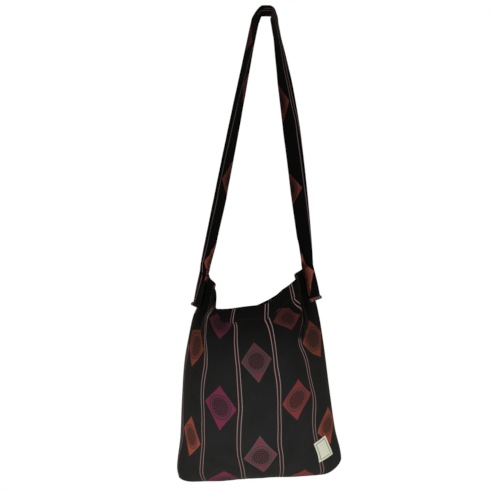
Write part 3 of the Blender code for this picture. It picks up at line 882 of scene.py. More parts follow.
def strap_section(station, along, roll, length):
    """Closed section of the strip, curled and pleated about its run and square to it."""
    facing = (station.facing - along * station.facing.dot(along)).normalized()
    across = along.cross(facing)
    if station.skew > 0.0:
        across = across.lerp(station.edge, station.skew).normalized()
        facing = across.cross(along).normalized()
    curl = max(math.radians(station.curl), 0.001)
    radius = STRAP_WIDTH / curl
    ring = []
    for sign in (-1.0, 1.0):
        order = range(STRAP_POINTS + 1) if sign < 0.0 else range(STRAP_POINTS, -1, -1)
        for i in order:
            if sign > 0.0 and i in (0, STRAP_POINTS):
                continue
            share = i / STRAP_POINTS
            offset = STRAP_WIDTH * (share - 0.5)
            angle = offset / radius
            half = strap_side(offset)
            knob = 1.0 + 0.7 * math.exp(-((share - 0.08) / 0.07) ** 2)
            rolled = roll * knob * max(0.0, 1.0 - abs(2.0 * share - 1.0) ** 12)
            out = -half if sign < 0.0 else half + rolled
            pleat = station.gather * PLEAT_HEIGHT * math.cos(2.0 * math.pi * 3.0 * share + 0.7)
            wave = 0.0006 * noise.noise(Vector((offset * 60.0, length * 22.0, 31.0)))
            reach = radius - out - pleat - wave
            ring.append(station.place + across * (reach * math.sin(angle))
                        + facing * (radius - reach * math.cos(angle)))
    return ring


def make_strap(surface, edge_surface, roll_lift):
    """The strip swept along its route, with a rolled edge where each end is turned under."""
    route = strap_route()
    last = len(route) - 1
    lengths = run_lengths([station.place for station in route])
    rings = []
    for i, station in enumerate(route):
        along = (route[min(i + 1, last)].place - route[max(i - 1, 0)].place).normalized()
        from_end = min(lengths[i], lengths[-1] - lengths[i])
        bulge = 1.0 - ((from_end - ROLL_MIDDLE) / ROLL_HALF_LENGTH) ** 2
        roll = roll_lift * math.sqrt(bulge) if bulge > 0.0 else 0.0
        rings.append(strap_section(station, along, roll, lengths[i]))
    size = len(rings[0])
    points, faces = skin(rings, STRAP_POINTS, 1)
    piece = make_object("strap_cloth", points, faces, [surface, edge_surface])
    mesh = piece.data
    top = max(range(last + 1), key=lambda i: route[i].place.z)
    break_ring = max(i for i in range(top) if route[i].place.z < -0.006)
    loop_end = min(i for i in range(top, last) if route[i].place.z < ARM_TOP["right"].z)
    loop_end_down = read_table(STRAP_REPEATS["right"], route[loop_end].place.z)

    def uv(polygon, vertex):
        ring, place = divmod(vertex, size)
        share = place if place <= STRAP_POINTS else 2 * STRAP_POINTS - place
        offset = STRAP_WIDTH * (share / STRAP_POINTS - 0.5) * 1000.0
        first = min(v // size for v in polygon.vertices)
        side = "left" if first < break_ring else "right"
        height = route[ring].place.z if side == "left" or ring > top else 0.0
        drift = read_table(STRAP_DRIFT[side], height)
        down = read_table(STRAP_REPEATS[side], height)
        if side == "right" and ring < loop_end:
            down = loop_end_down - (lengths[loop_end] - lengths[ring]) * 1000.0
        spread = read_table(STRAP_SPREAD[side], height)
        across = COLUMN_MIDDLE + STRIPE_PERIOD * 1.5 + (offset - drift) * spread
        return across / 1000.0, (DIAMOND_ROW + down) / 1000.0

    set_uv(mesh, uv)
    figured, painted_light_level, painted_crease_shade, line_tone, worn_off, rubbed = add_measures(
        mesh, ("figured", "painted_light_level", "painted_crease_shade", "line_tone", "worn_off", "rubbed"))
    for vertex in range(len(points)):
        ring, place = divmod(vertex, size)
        share = place / STRAP_POINTS if place <= STRAP_POINTS else 2.0 - place / STRAP_POINTS
        height = route[ring].place.z
        figured[vertex].value = 1.0
        # Painted shade by height: the strap and its stripes darken higher up
        painted_light_level[vertex].value = read_table(STRAP_PAINTED_LIGHT_LEVEL, height)
        line_tone[vertex].value = read_table(STRAP_LINE_TONE, height)
        # Painted shade where the strap bends over the rim and in its pleats
        painted_crease_shade[vertex].value = strap_crease("left" if ring < top else "right", share, height)
        worn_off[vertex].value = ramp(-0.50, -0.44, height) if ring < top else 0.0
        rubbed[vertex].value = 1.0 if ring > top else 1.0 - ramp(0.26, 0.36, share)
    for polygon in mesh.polygons:
        middle = sum(lengths[v // size] for v in polygon.vertices) / len(polygon.vertices)
        if min(middle, lengths[-1] - middle) < TURNED_ZONE:
            polygon.material_index = 1
    return piece


def strap_crease(side, share, height):
    """How much painted shade darkens the strap where it bends over the rim.

    The right arm also gets painted shade in the pleat at its front edge under the bend, and along its
    inner edge higher up.
    """
    above_bend = height - STRAP_BEND_HEIGHT[side]
    bend = 0.85 * math.exp(-((above_bend / 0.0035) ** 2))
    if side == "left":
        return bend
    pleat = 0.80 * ramp(0.66, 0.78, share) * (1.0 - ramp(0.004, 0.012, above_bend))
    inner = 0.55 * ramp(0.52, 0.77, share) * ramp(-0.45, -0.39, height)
    return max(bend, pleat, inner)


def front_surface(across, height, crumple):
    """Point on the outside of the front panel, with the steps to the right and up there."""
    reach = 0.004

    def place(across, height):
        return cloth_point("front", across / PANEL_WIDTH, height)

    right = (place(across + reach, height) - place(across - reach, height)) / (2.0 * reach)
    up = (place(across, height + reach) - place(across, height - reach)) / (2.0 * reach)
    out = right.cross(up).normalized()
    below_rim = rim_height("front", across / PANEL_WIDTH) - height
    lift = CLOTH + fold_offset("front", across, below_rim, crumple)
    return place(across, height) + out * lift, right, up


def label_point(across, up, crumple):
    """Point of the cloth under the label and the way out there, from a step over the label."""
    _, right_step, up_step = front_surface(LABEL_ACROSS, LABEL_UP, crumple)
    out = right_step.cross(up_step).normalized()
    label_up = Matrix.Rotation(LABEL_TURN, 3, out) @ up_step.normalized()
    label_right = label_up.cross(out)
    skew = right_step.dot(up_step)
    scale = right_step.dot(right_step) * up_step.dot(up_step) - skew * skew
    step = label_right * across + label_up * up
    cloth_across = (step.dot(right_step) * up_step.dot(up_step) - step.dot(up_step) * skew) / scale
    height = (step.dot(up_step) * right_step.dot(right_step) - step.dot(right_step) * skew) / scale
    point, here_right, here_up = front_surface(LABEL_ACROSS + cloth_across, LABEL_UP + height, crumple)
    return point, here_right.cross(here_up).normalized()


def make_label(surface, crumple):
    """Small woven label that follows the cloth, with edges that ease off it a little."""
    rings = []
    for column in range(LABEL_COLUMNS + 1):
        across = LABEL_WIDTH * (column / LABEL_COLUMNS - 0.5)
        inner, outer = [], []
        for row in range(LABEL_ROWS + 1):
            up = LABEL_HEIGHT * (0.5 - row / LABEL_ROWS)
            point, out = label_point(across, up, crumple)
            ease = LABEL_EASE * (abs(2.0 * across / LABEL_WIDTH) ** 8 + abs(2.0 * up / LABEL_HEIGHT) ** 8)
            wave = 0.0003 * noise.noise(Vector((across * 90.0, up * 90.0, 71.0)))
            lift = SEAM_GAP + max(0.0, ease + wave)
            inner.append(to_hang(point + out * lift))
            outer.append(to_hang(point + out * (lift + LABEL_THICKNESS)))
        rings.append(outer + inner[::-1])
    size = len(rings[0])
    points, faces = skin(rings, LABEL_ROWS)
    piece = make_object("label_tape", points, faces, [surface])

    def uv(polygon, vertex):
        column, place = divmod(vertex, size)
        row = min(place, size - 1 - place)
        return LABEL_WIDTH * (column / LABEL_COLUMNS - 0.5), LABEL_HEIGHT * (0.5 - row / LABEL_ROWS)

    set_uv(piece.data, uv)
    return piece


def stitch_shape(length, width):
    """One short stitch modelled once: a thread that dips into the cloth at both ends."""
    bpy.ops.object.select_all(action="DESELECT")
    bpy.ops.mesh.primitive_cylinder_add(vertices=6, radius=width / 2.0, depth=length,
                                        rotation=(0.0, math.pi / 2.0, 0.0))
    stitch = bpy.context.active_object
    bpy.ops.object.transform_apply(location=True, rotation=True, scale=True)
    bpy.ops.object.mode_set(mode="EDIT")
    bpy.ops.mesh.select_all(action="SELECT")
    bpy.ops.mesh.subdivide(number_cuts=2)
    bpy.ops.object.mode_set(mode="OBJECT")
    for vertex in stitch.data.vertices:
        away = abs(vertex.co.x) / (length / 2.0)
        vertex.co.z -= width * 0.75 * away ** 3
        vertex.co.y *= 1.0 - 0.45 * away ** 3
    return stitch


def sew(name, places, pattern, surface):
    """Copies of the stitch at given places, each with its run and the way out of the cloth."""
    points, faces = [], []
    source = [vertex.co.copy() for vertex in pattern.data.vertices]
    source_faces = [list(face.vertices) for face in pattern.data.polygons]
    for place, along, out in places:
        side = out.cross(along).normalized()
        top = along.cross(side).normalized()
        start = len(points)
        points += [place + along * co.x + side * co.y + top * co.z for co in source]
        faces += [[start + k for k in face] for face in source_faces]
    return make_object(name, points, faces, [surface])


def hem_stitches(face, pitch, crumple):
    """Places of the stitches that hold a hem, a little above its turned edge."""
    down = HEM_DEPTH - HEM_SEAM_INSET
    samples = []
    count = 480
    for i in range(6, count - 5):
        share = i / count
        height = rim_height(face, share) - down
        here = cloth_point(face, share, height)
        right = cloth_point(face, share + 0.004, height) - cloth_point(face, share - 0.004, height)
        up = cloth_point(face, share, height + 0.002) - cloth_point(face, share, height - 0.002)
        out = right.cross(up).normalized()
        if face == "back":
            out = -out
        lift = 2.0 * CLOTH + fold_offset(face, share * PANEL_WIDTH, down, crumple)
        samples.append((to_hang(here + out * lift), to_hang_direction(out)))
    return evenly(samples, pitch)


def evenly(samples, pitch):
    """Places at an even pitch along a chain of points with their outward directions."""
    lengths = run_lengths([place for place, _ in samples])
    places = []
    count = int(lengths[-1] / pitch)
    low = 0
    for k in range(count):
        target = (k + 0.5) * pitch
        while lengths[low + 1] < target:
            low += 1
        share = (target - lengths[low]) / (lengths[low + 1] - lengths[low])
        place = samples[low][0].lerp(samples[low + 1][0], share)
        along = (samples[low + 1][0] - samples[low][0]).normalized()
        places.append((place, along, samples[low][1].lerp(samples[low + 1][1], share).normalized()))
    return places


# Materials

RANGE = "ShaderNodeMapRange"
NOISE = "ShaderNodeTexNoise"
MIX = "ShaderNodeMix"


def add_node(tree, kind, inputs=(), **settings):
    """Add one node with its settings, and link or set its inputs, given in order or by their sockets.

    A kind that names no node type is the operation of a math node.
    """
    if not kind.startswith("ShaderNode"):
        kind, settings["operation"] = "ShaderNodeMath", kind
    node = tree.nodes.new(kind)
    for name, value in settings.items():
        setattr(node, name, value)
    for socket, source in inputs.items() if isinstance(inputs, dict) else enumerate(inputs):
        if isinstance(source, bpy.types.Node):
            tree.links.new(source.outputs[0], node.inputs[socket])
        elif isinstance(source, bpy.types.NodeSocket):
            tree.links.new(source, node.inputs[socket])
        else:
            node.inputs[socket].default_value = source
    return node


def new_material(name):
    material = bpy.data.materials.new(name)
    material.use_nodes = True
    material.node_tree.nodes.clear()
    return material, material.node_tree


def darker(colour, share):
    return tuple(value * share for value in colour[:3]) + (1.0,)


def figured_cotton(name, colours, ground, bloom):
    """Cotton woven on black with pairs of stripes and rows of figured diamonds.

    The real cloth is a soft, fairly thick hand-loom cotton with coloured threads woven in. It is
    dull all over, with a faint warm bloom of loose fibre where it turns away from the eye, less on
    the pressed strap, and a fine rib from its threads. Painted shade darkens its ground, figures and
    stripes towards the mouth, up the strap and in deep creases. The ribs are about 0.6 mm apart and
    are drawn at 1.7 mm, because the real ones are too fine to show.
    """
    material, tree = new_material(name)
    uv = add_node(tree, "ShaderNodeUVMap", uv_map="cloth")
    parts = add_node(tree, "ShaderNodeSeparateXYZ", (uv,))
    fibre = add_node(tree, NOISE, {"Vector": uv.outputs[0], "Scale": 420.0, "Detail": 2.0, "Roughness": 0.6})
    patchy = add_node(tree, NOISE, {"Vector": uv.outputs[0], "Scale": 26.0, "Detail": 3.0})
    figured, tips, worn, line_tone, painted_light_level, painted_crease_shade = (
        add_node(tree, "ShaderNodeAttribute", attribute_name=measure).outputs["Fac"]
        for measure in ("figured", "tips", "worn_off", "line_tone", "painted_light_level", "painted_crease_shade"))
    jitter = add_node(tree, "ADD", (fibre.outputs[0], -0.5))
    across = add_node(tree, "MULTIPLY", (parts.outputs[0], 1000.0))
    down = add_node(tree, "MULTIPLY", (parts.outputs[1], 1000.0))
    from_edge = add_node(tree, "ADD", (across, STRIPE_PERIOD / 2.0 - COLUMN_MIDDLE))
    cells = add_node(tree, "DIVIDE", (from_edge, STRIPE_PERIOD))
    column = add_node(tree, "FLOOR", (cells,))
    from_middle = add_node(tree, "SUBTRACT", (across, COLUMN_MIDDLE))
    side = add_node(tree, "WRAP", (from_middle, STRIPE_PERIOD / 2.0, -STRIPE_PERIOD / 2.0))
    side_size = add_node(tree, "ABSOLUTE", (side,))
    odd = add_node(tree, "FLOORED_MODULO", (column, 2.0))
    shift = add_node(tree, "MULTIPLY_ADD", (odd, DIAMOND_REPEAT / 2.0, -DIAMOND_ROW))
    from_row = add_node(tree, "ADD", (down, shift))
    rise = add_node(tree, "WRAP", (from_row, DIAMOND_REPEAT / 2.0, -DIAMOND_REPEAT / 2.0))
    rise_size = add_node(tree, "ABSOLUTE", (rise,))
    side_share = add_node(tree, "DIVIDE", (side_size, DIAMOND_HALF_WIDTH))
    reach = add_node(tree, "MULTIPLY_ADD", (rise_size, 1.0 / DIAMOND_HALF_HEIGHT, side_share))
    rough_reach = add_node(tree, "MULTIPLY_ADD", (jitter, 0.05, reach))
    shown = add_node(tree, RANGE, (figured, 0.0, 0.8, 0.0, 1.0))
    in_diamond = add_node(tree, RANGE, (rough_reach, 0.985, 1.01, 1.0, 0.0))
    diamond = add_node(tree, "MULTIPLY", (in_diamond, shown))
    outline = add_node(tree, RANGE, (rough_reach, 0.925, 0.955, 0.0, 1.0))
    squares = add_node(tree, "MULTIPLY", (side, side))
    rise_round = add_node(tree, "MULTIPLY", (rise, 0.88))
    both = add_node(tree, "MULTIPLY_ADD", (rise_round, rise_round, squares))
    radius = add_node(tree, "SQRT", (both,))
    band_out = add_node(tree, RANGE, (radius, 22.4, 23.2, 1.0, 0.0))
    band_in = add_node(tree, RANGE, (radius, 16.4, 17.0, 0.0, 1.0))
    band = add_node(tree, "MULTIPLY", (band_out, band_in))
    from_line = add_node(tree, "SUBTRACT", (radius, 21.4))
    line_distance = add_node(tree, "ABSOLUTE", (from_line,))
    ring = add_node(tree, RANGE, (line_distance, 0.6, 1.3, 1.0, 0.0))
    disc = add_node(tree, RANGE, (radius, 15.8, 16.6, 1.0, 0.0))
    ripples = add_node(tree, "MULTIPLY", (radius, 2.0 * math.pi / 4.3))
    ripple = add_node(tree, "SINE", (ripples,))
    turn = add_node(tree, "ARCTAN2", (rise_round, side))
    spokes = add_node(tree, "MULTIPLY", (turn, 16.0))
    spoke = add_node(tree, "SINE", (spokes,))
    dots = add_node(tree, "MULTIPLY_ADD", (spoke, 0.75, ripple))
    dot_gaps = add_node(tree, RANGE, (dots, 0.55, -0.55, 0.0, 1.0))
    dark_dots = add_node(tree, RANGE, (dot_gaps, 0.0, 1.0, 0.40, 1.0))
    disc_lines = add_node(tree, "MULTIPLY", (disc, dark_dots))
    band_lines = add_node(tree, RANGE, (ripple, -0.6, 0.6, 0.50, 0.06))
    band_shade = add_node(tree, "MULTIPLY", (band, band_lines))

    # Colours for the columns of diamonds, which come round again after four: the field, the figure
    # woven into it, and the field's own edge
    place = add_node(tree, "MULTIPLY_ADD", (column, 1.0 / COLUMNS_SHOWN, 0.5))
    tints = []
    for values in ((colours.crimson, colours.orange, colours.magenta, colours.plum),
                   [from_hex(code) for code in ("603c32", "6c3f34", "552b44", "4a4644")],
                   [from_hex(code) for code in ("733033", "874034", "68293c", "4a4745")]):
        tint = add_node(tree, "ShaderNodeValToRGB", (place,))
        stops = tint.color_ramp.elements
        tint.color_ramp.interpolation = "CONSTANT"
        for i in range(COLUMNS_SHOWN):
            stop = stops[i] if i < 2 else stops.new(i / COLUMNS_SHOWN)
            stop.position = i / COLUMNS_SHOWN
            stop.color = tuple(values[i % 4])
        tints.append(tint)
    field, trim, edging = tints
    ring_share = add_node(tree, "MULTIPLY", (ring, 0.95))
    band_share = add_node(tree, "MULTIPLY", (band, 0.60))
    in_rings = add_node(tree, "MAXIMUM", (ring_share, band_share))
    in_disc = add_node(tree, "MULTIPLY_ADD", (disc, 0.35, in_rings))
    with_edge = add_node(tree, MIX, {0: outline, 6: field, 7: edging}, data_type="RGBA")
    with_trim = add_node(tree, MIX, {0: in_disc, 6: with_edge.outputs[2], 7: trim}, data_type="RGBA")
    shade_share = add_node(tree, "MAXIMUM", (disc_lines, band_shade))
    figure = add_node(tree, MIX, {0: shade_share, 6: with_trim.outputs[2], 7: ground}, data_type="RGBA")
    tip = add_node(tree, RANGE, (tips, 0.0, 0.15, 0.0, 1.0))

    # Each stripe is a row of floating threads, so it is broken into short dashes
    line_away = add_node(tree, "SUBTRACT", (side_size, STRIPE_PERIOD / 2.0 - 3.55))
    line_size = add_node(tree, "ABSOLUTE", (line_away,))
    line = add_node(tree, RANGE, (line_size, 0.55, 1.05, 1.0, 0.0))
    dash_turn = add_node(tree, "MULTIPLY", (down, 2.0 * math.pi / 4.4))
    dash = add_node(tree, "SINE", (dash_turn,))
    dashes = add_node(tree, RANGE, (dash, -0.9, -0.2, 0.55, 1.0))
    on_left = add_node(tree, "GREATER_THAN", (side, 0.0))
    gone = add_node(tree, "MULTIPLY", (on_left, worn))
    left_over = add_node(tree, "SUBTRACT", (1.0, gone))
    whole = add_node(tree, "MULTIPLY", (line, left_over))
    stripe = add_node(tree, "MULTIPLY", (whole, dashes))
    stripe_tint = add_node(tree, MIX, {0: on_left, 6: tuple(colours.grey_line), 7: tuple(colours.pink_line)},
                           data_type="RGBA")
    # Stripes dimmed by height as painted shade
    stripe_colour = add_node(tree, "ShaderNodeVectorMath", {0: stripe_tint.outputs[2], "Scale": line_tone},
                             operation="SCALE")
    patch = add_node(tree, RANGE, (patchy.outputs[0], 0.3, 0.7, 0.0, 1.0))
    base = add_node(tree, MIX, {0: patch, 6: darker(ground, 0.86), 7: darker(ground, 1.12)}, data_type="RGBA")
    with_figure = add_node(tree, MIX, {0: diamond, 6: base.outputs[2], 7: figure.outputs[2]},
                           data_type="RGBA")
    # Painted shade: the painted light level darkens the cloth, and the figures a little less
    in_figure = add_node(tree, "MULTIPLY", (diamond, 0.16))
    painted_shade_share = add_node(tree, "SUBTRACT", (1.0, painted_light_level))
    bright = add_node(tree, "MULTIPLY_ADD", (in_figure, painted_shade_share, painted_light_level))
    painted_shade_colour = add_node(tree, "ShaderNodeVectorMath", {0: with_figure.outputs[2], "Scale": bright},
                    operation="SCALE")
    with_tips = add_node(tree, MIX, {0: tip, 6: painted_shade_colour.outputs[0], 7: darker(colours.orange, 0.6)},
                         data_type="RGBA")
    with_stripe = add_node(tree, MIX, {0: stripe, 6: with_tips.outputs[2], 7: stripe_colour.outputs[0]},
                           data_type="RGBA")
    # Painted shade in deep creases darkens everything there
    clear = add_node(tree, "SUBTRACT", (1.0, painted_crease_shade))

    # Ribs of the weave, and how loose fibres lighten and darken single threads
    warp_turn = add_node(tree, "MULTIPLY", (across, 2.0 * math.pi / 1.7))
    weft_turn = add_node(tree, "MULTIPLY", (down, 2.0 * math.pi / 1.7))
    warp = add_node(tree, "SINE", (warp_turn,))
    weft = add_node(tree, "SINE", (weft_turn,))
    weave = add_node(tree, "MULTIPLY", (warp, weft))
    thread_tone = add_node(tree, "MULTIPLY_ADD", (jitter, 1.6, weave))
    thread = add_node(tree, RANGE, (thread_tone, -1.2, 1.2, 0.80, 1.20))
    tone = add_node(tree, "MULTIPLY", (thread, clear))
    toned = add_node(tree, "ShaderNodeVectorMath", {0: with_stripe.outputs[2], "Scale": tone},
                     operation="SCALE")
    relief = add_node(tree, "MULTIPLY_ADD", (stripe, 0.8, thread_tone))
    raised = add_node(tree, "MULTIPLY_ADD", (diamond, 0.3, relief))
    bump = add_node(tree, "ShaderNodeBump", {"Height": raised, "Strength": 0.35, "Distance": 0.00035})
    dull = add_node(tree, RANGE, (thread_tone, -1.2, 1.2, 0.95, 0.82))
    shader = add_node(tree, "ShaderNodeBsdfPrincipled", {
        "Base Color": toned, "Roughness": dull, "Normal": bump, "Specular IOR Level": 0.06,
        "Sheen Weight": bloom, "Sheen Roughness": 0.45, "Sheen Tint": from_hex("a09468")})
    add_node(tree, "ShaderNodeOutputMaterial", (shader,))
    return material


def turned_edge_cotton(name, ground):
    """The strap ends' turned edge, where the woven stripes run round the fold.

    The real edge is the same cotton, rubbed at the fold, so its coloured threads show as a dull
    pinkish brown with dark gaps between them.
    """
    material, tree = new_material(name)
    place = add_node(tree, "ShaderNodeTexCoord")
    uv = add_node(tree, "ShaderNodeUVMap", uv_map="cloth")
    parts = add_node(tree, "ShaderNodeSeparateXYZ", (uv,))
    fibre = add_node(tree, NOISE, {"Vector": place.outputs["Object"], "Scale": 520.0, "Detail": 3.0})
    wander = add_node(tree, NOISE, {"Vector": place.outputs["Object"], "Scale": 130.0, "Detail": 1.0})
    bars_turn = add_node(tree, "MULTIPLY", (parts.outputs[0], 2.0 * math.pi * 1000.0 / 7.5))
    bars_place = add_node(tree, "MULTIPLY_ADD", (wander.outputs[0], 9.0, bars_turn))
    bars = add_node(tree, "SINE", (bars_place,))
    mixed = add_node(tree, "MULTIPLY_ADD", (fibre.outputs[0], 2.0, bars))
    share = add_node(tree, RANGE, (mixed, 0.0, 1.8, 0.0, 1.0))
    threads = add_node(tree, MIX, {0: share, 6: from_hex("2c1b18"), 7: from_hex("6e4a42")}, data_type="RGBA")
    rubbed = add_node(tree, "ShaderNodeAttribute", attribute_name="rubbed").outputs["Fac"]
    colour = add_node(tree, MIX, {0: rubbed, 6: ground, 7: threads.outputs[2]}, data_type="RGBA")
    bump = add_node(tree, "ShaderNodeBump", {"Height": fibre.outputs[0], "Strength": 0.4, "Distance": 0.0004})
    shader = add_node(tree, "ShaderNodeBsdfPrincipled", {
        "Base Color": colour.outputs[2], "Roughness": 0.88, "Normal": bump, "Specular IOR Level": 0.08,
        "Sheen Weight": 0.04, "Sheen Tint": from_hex("a09080")})
    add_node(tree, "ShaderNodeOutputMaterial", (shader,))
    return material


def woven_tape(name, colours):
    """Cream label, a smooth tape of satin-woven polyester with a border woven in.

    The real tape is close and slightly silky, with very fine cross ribs. The ribs are 0.25 mm apart
    and are drawn at 0.9 mm, because the real ones are too fine to show.
    """
    material, tree = new_material(name)
    uv = add_node(tree, "ShaderNodeUVMap", uv_map="cloth")
    parts = add_node(tree, "ShaderNodeSeparateXYZ", (uv,))
    across = add_node(tree, "ABSOLUTE", (parts.outputs[0],))
    up = add_node(tree, "ABSOLUTE", (parts.outputs[1],))
    from_side = add_node(tree, "SUBTRACT", (LABEL_WIDTH / 2.0, across))
    from_end = add_node(tree, "SUBTRACT", (LABEL_HEIGHT / 2.0, up))
    inward = add_node(tree, "MINIMUM", (from_side, from_end))
    away = add_node(tree, "SUBTRACT", (inward, 0.0042))
    away_size = add_node(tree, "ABSOLUTE", (away,))
    border = add_node(tree, RANGE, (away_size, 0.0004, 0.0008, 1.0, 0.0))
    fibre = add_node(tree, NOISE, {"Vector": uv.outputs[0], "Scale": 700.0, "Detail": 2.0})
    rib_turn = add_node(tree, "MULTIPLY", (parts.outputs[1], 2.0 * math.pi / 0.0009))
    rib = add_node(tree, "SINE", (rib_turn,))
    relief = add_node(tree, "MULTIPLY_ADD", (fibre.outputs[0], 1.4, rib))
    tone = add_node(tree, RANGE, (relief, -0.6, 2.0, 0.0, 1.0))
    cream = add_node(tree, MIX, {0: tone, 6: darker(colours.label, 0.84), 7: darker(colours.label, 1.05)},
                     data_type="RGBA")
    colour = add_node(tree, MIX, {0: border, 6: cream.outputs[2], 7: colours.label_border}, data_type="RGBA")
    bump = add_node(tree, "ShaderNodeBump", {"Height": relief, "Strength": 0.25, "Distance": 0.0002})
    shader = add_node(tree, "ShaderNodeBsdfPrincipled", {
        "Base Color": colour.outputs[2], "Roughness": 0.62, "Normal": bump, "Specular IOR Level": 0.35})
    add_node(tree, "ShaderNodeOutputMaterial", (shader,))
    return material


def sewing_thread(name, colour):
    """Dark polyester sewing thread, twisted and faintly shiny, with faint slanting plies."""
    material, tree = new_material(name)
    place = add_node(tree, "ShaderNodeTexCoord")
    plies = add_node(tree, NOISE, {"Vector": place.outputs["Object"], "Scale": 1400.0, "Detail": 1.0})
    tone = add_node(tree, MIX, {0: plies.outputs[0], 6: darker(colour, 0.7), 7: darker(colour, 1.4)},
                    data_type="RGBA")
    bump = add_node(tree, "ShaderNodeBump", {"Height": plies.outputs[0], "Strength": 0.3, "Distance": 0.0001})
    shader = add_node(tree, "ShaderNodeBsdfPrincipled", {
        "Base Color": tone.outputs[2], "Roughness": 0.6, "Normal": bump, "Specular IOR Level": 0.15})
    add_node(tree, "ShaderNodeOutputMaterial", (shader,))
    return material


def plain_floor(name, colour):
    """Matt painted studio floor, even all over, with a faint mottling."""
    material, tree = new_material(name)
    place = add_node(tree, "ShaderNodeTexCoord")
    mottle = add_node(tree, NOISE, {"Vector": place.outputs["Object"], "Scale": 3.0, "Detail": 2.0})
    tone = add_node(tree, MIX, {0: mottle.outputs[0], 6: darker(colour, 0.98), 7: darker(colour, 1.02)},
                    data_type="RGBA")
    shader = add_node(tree, "ShaderNodeBsdfPrincipled", {"Base Color": tone.outputs[2], "Roughness": 0.9})
    add_node(tree, "ShaderNodeOutputMaterial", (shader,))
    return material


# Operators

class BOOKBAG_OT_panels(bpy.types.Operator):
    """Make both cloth panels with their hems, folds and woven pattern"""
    bl_idname = "bookbag.panels"
    bl_label = "Cloth Panels"

    def execute(self, context):
        sizes, colours = context.scene.bookbag_sizes, context.scene.bookbag_colours
        cloth = figured_cotton("figured_hand_loom_cotton", colours, tuple(colours.ground), 0.07)
        for face in ("front", "back"):
            piece = make_panel(face, cloth, sizes.crumple)
            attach(piece, "root")
            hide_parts(face + "_panel")
        return {"FINISHED"}


class BOOKBAG_OT_strap(bpy.types.Operator):
    """Make the folded strap with its gathers and its turned and sewn ends"""
    bl_idname = "bookbag.strap"
    bl_label = "Shoulder Strap"

    def execute(self, context):
        sizes, colours = context.scene.bookbag_sizes, context.scene.bookbag_colours
        cloth = figured_cotton("figured_strap_cotton", colours, tuple(colours.strap_shaded_ground), 0.02)
        edge = turned_edge_cotton("rubbed_turned_cotton_edge", tuple(colours.strap_shaded_ground))
        piece = make_strap(cloth, edge, sizes.roll_lift)
        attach(piece, "root")
        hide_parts("strap")
        return {"FINISHED"}


class BOOKBAG_OT_label(bpy.types.Operator):
    """Make the small woven label"""
    bl_idname = "bookbag.label"
    bl_label = "Woven Label"

    def execute(self, context):
        sizes, colours = context.scene.bookbag_sizes, context.scene.bookbag_colours
        piece = make_label(woven_tape("satin_woven_label_tape", colours), sizes.crumple)
        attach(piece, "root")
        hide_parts("label")
        return {"FINISHED"}


class BOOKBAG_OT_stitching(bpy.types.Operator):
    """Sew the hems and the label"""
    bl_idname = "bookbag.stitching"
    bl_label = "Stitching"

    def execute(self, context):
        sizes, colours = context.scene.bookbag_sizes, context.scene.bookbag_colours
        dark = sewing_thread("dark_polyester_thread", tuple(colours.thread))
        pale = sewing_thread("cream_polyester_thread", from_hex("b9b7a2"))
        pattern = stitch_shape(sizes.stitch_length, sizes.thread_width)
        pitch = sizes.stitch_length * 1.3
        for face in ("front", "back"):
            piece = sew(face + "_hem_stitches", hem_stitches(face, pitch, sizes.crumple), pattern, dark)
            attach(piece, "root")
        half_width, half_height = LABEL_WIDTH / 2.0 - LABEL_SEAM_INSET, LABEL_HEIGHT / 2.0 - LABEL_SEAM_INSET
        places = []
        corners = [(-half_width, half_height), (half_width, half_height), (half_width, -half_height),
                   (-half_width, -half_height), (-half_width, half_height)]
        for (x0, y0), (x1, y1) in zip(corners, corners[1:]):
            samples = []
            for k in range(17):
                point, out = label_point(x0 + (x1 - x0) * k / 16.0, y0 + (y1 - y0) * k / 16.0, sizes.crumple)
                lift = SEAM_GAP + LABEL_THICKNESS + THREAD_LIFT
                samples.append((to_hang(point + out * lift), to_hang_direction(out)))
            places += evenly(samples, LABEL_STITCH_PITCH)
        small = stitch_shape(LABEL_STITCH, sizes.thread_width * 0.7)
        piece = sew("label_stitches", places, small, pale)
        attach(piece, "root")
        for shape in (pattern, small):
            bpy.data.objects.remove(shape, do_unlink=True)
        return {"FINISHED"}


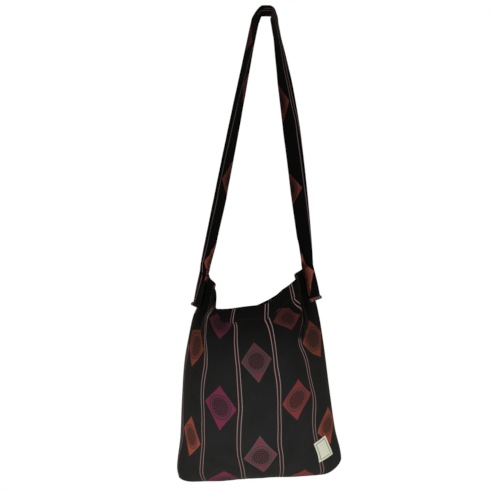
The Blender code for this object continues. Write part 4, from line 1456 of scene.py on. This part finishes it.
class BOOKBAG_OT_stage(bpy.types.Operator):
    """Set the pale floor, the white surroundings, the studio lights and the camera"""
    bl_idname = "bookbag.stage"
    bl_label = "Studio Stage"

    def execute(self, context):
        colours = context.scene.bookbag_colours
        bpy.ops.object.select_all(action="DESELECT")
        bpy.ops.mesh.primitive_circle_add(vertices=96, radius=2.6, fill_type="NGON",
                                          location=(0.0, 0.0, FLOOR_HEIGHT))
        floor = context.active_object
        floor.name = "studio_floor"
        bpy.ops.object.transform_apply(location=True, rotation=True, scale=True)
        floor.data.materials.append(plain_floor("matt_painted_floor", tuple(colours.floor)))

        world = bpy.data.worlds.new("white_studio")
        world.use_nodes = True
        tree = world.node_tree
        tree.nodes.clear()
        path = add_node(tree, "ShaderNodeLightPath")
        white = add_node(tree, "ShaderNodeBackground", {"Color": (1.0, 1.0, 1.0, 1.0), "Strength": 1.0})
        soft = add_node(tree, "ShaderNodeBackground", {"Color": (1.0, 1.0, 1.0, 1.0), "Strength": 0.33})
        mix = add_node(tree, "ShaderNodeMixShader", {0: path.outputs["Is Camera Ray"], 1: soft, 2: white})
        add_node(tree, "ShaderNodeOutputWorld", {0: mix})
        context.scene.world = world

        for name, place, size, power in (
            ("key_light", (-1.2, -2.6, -0.5), 1.6, 54.0),
            ("fill_light", (1.6, -2.3, -0.6), 1.6, 31.0),
            ("back_light", (0.4, 2.6, 0.6), 2.0, 44.0),
        ):
            light = bpy.data.lights.new(name, "AREA")
            light.shape = "SQUARE"
            light.size = size
            light.energy = power
            lamp = bpy.data.objects.new(name, light)
            lamp.location = place
            aim = BAG_MIDDLE - Vector(place)
            lamp.rotation_euler = aim.to_track_quat("-Z", "Y").to_euler()
            context.scene.collection.objects.link(lamp)

        camera = bpy.data.cameras.new("camera")
        camera.sensor_width = 36.0
        camera.lens = camera.sensor_width * CAMERA_DISTANCE / VIEW_WIDTH
        eye = bpy.data.objects.new("camera", camera)
        eye.location = (-0.043, -CAMERA_DISTANCE, -0.467)
        eye.rotation_euler = (math.pi / 2.0, 0.0, 0.0)
        context.scene.collection.objects.link(eye)
        context.scene.camera = eye
        context.scene.view_settings.view_transform = "Standard"
        return {"FINISHED"}


class BOOKBAG_PT_parts(bpy.types.Panel):
    """Parts of the book bag"""
    bl_idname = "BOOKBAG_PT_parts"
    bl_label = "Book Bag"
    bl_space_type = "VIEW_3D"
    bl_region_type = "UI"
    bl_category = "Book Bag"

    def draw(self, context):
        for group in (context.scene.bookbag_sizes, context.scene.bookbag_colours):
            for name in group.__annotations__:
                self.layout.prop(group, name)
        for operator in OPERATORS:
            self.layout.operator(operator.bl_idname)


OPERATORS = (BOOKBAG_OT_panels, BOOKBAG_OT_strap, BOOKBAG_OT_label, BOOKBAG_OT_stitching, BOOKBAG_OT_stage)
CLASSES = (BookBagSizes, BookBagColours) + OPERATORS + (BOOKBAG_PT_parts,)


def register():
    for cls in CLASSES:
        bpy.utils.register_class(cls)
    bpy.types.Scene.bookbag_sizes = PointerProperty(type=BookBagSizes)
    bpy.types.Scene.bookbag_colours = PointerProperty(type=BookBagColours)


def unregister():
    del bpy.types.Scene.bookbag_colours
    del bpy.types.Scene.bookbag_sizes
    for cls in reversed(CLASSES):
        bpy.utils.unregister_class(cls)


def main():
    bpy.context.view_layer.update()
    register()
    bpy.ops.bookbag.stage()
    bpy.ops.bookbag.panels()
    bpy.ops.bookbag.strap()
    bpy.ops.bookbag.label()
    bpy.ops.bookbag.stitching()


if __name__ == "__main__":
    main()
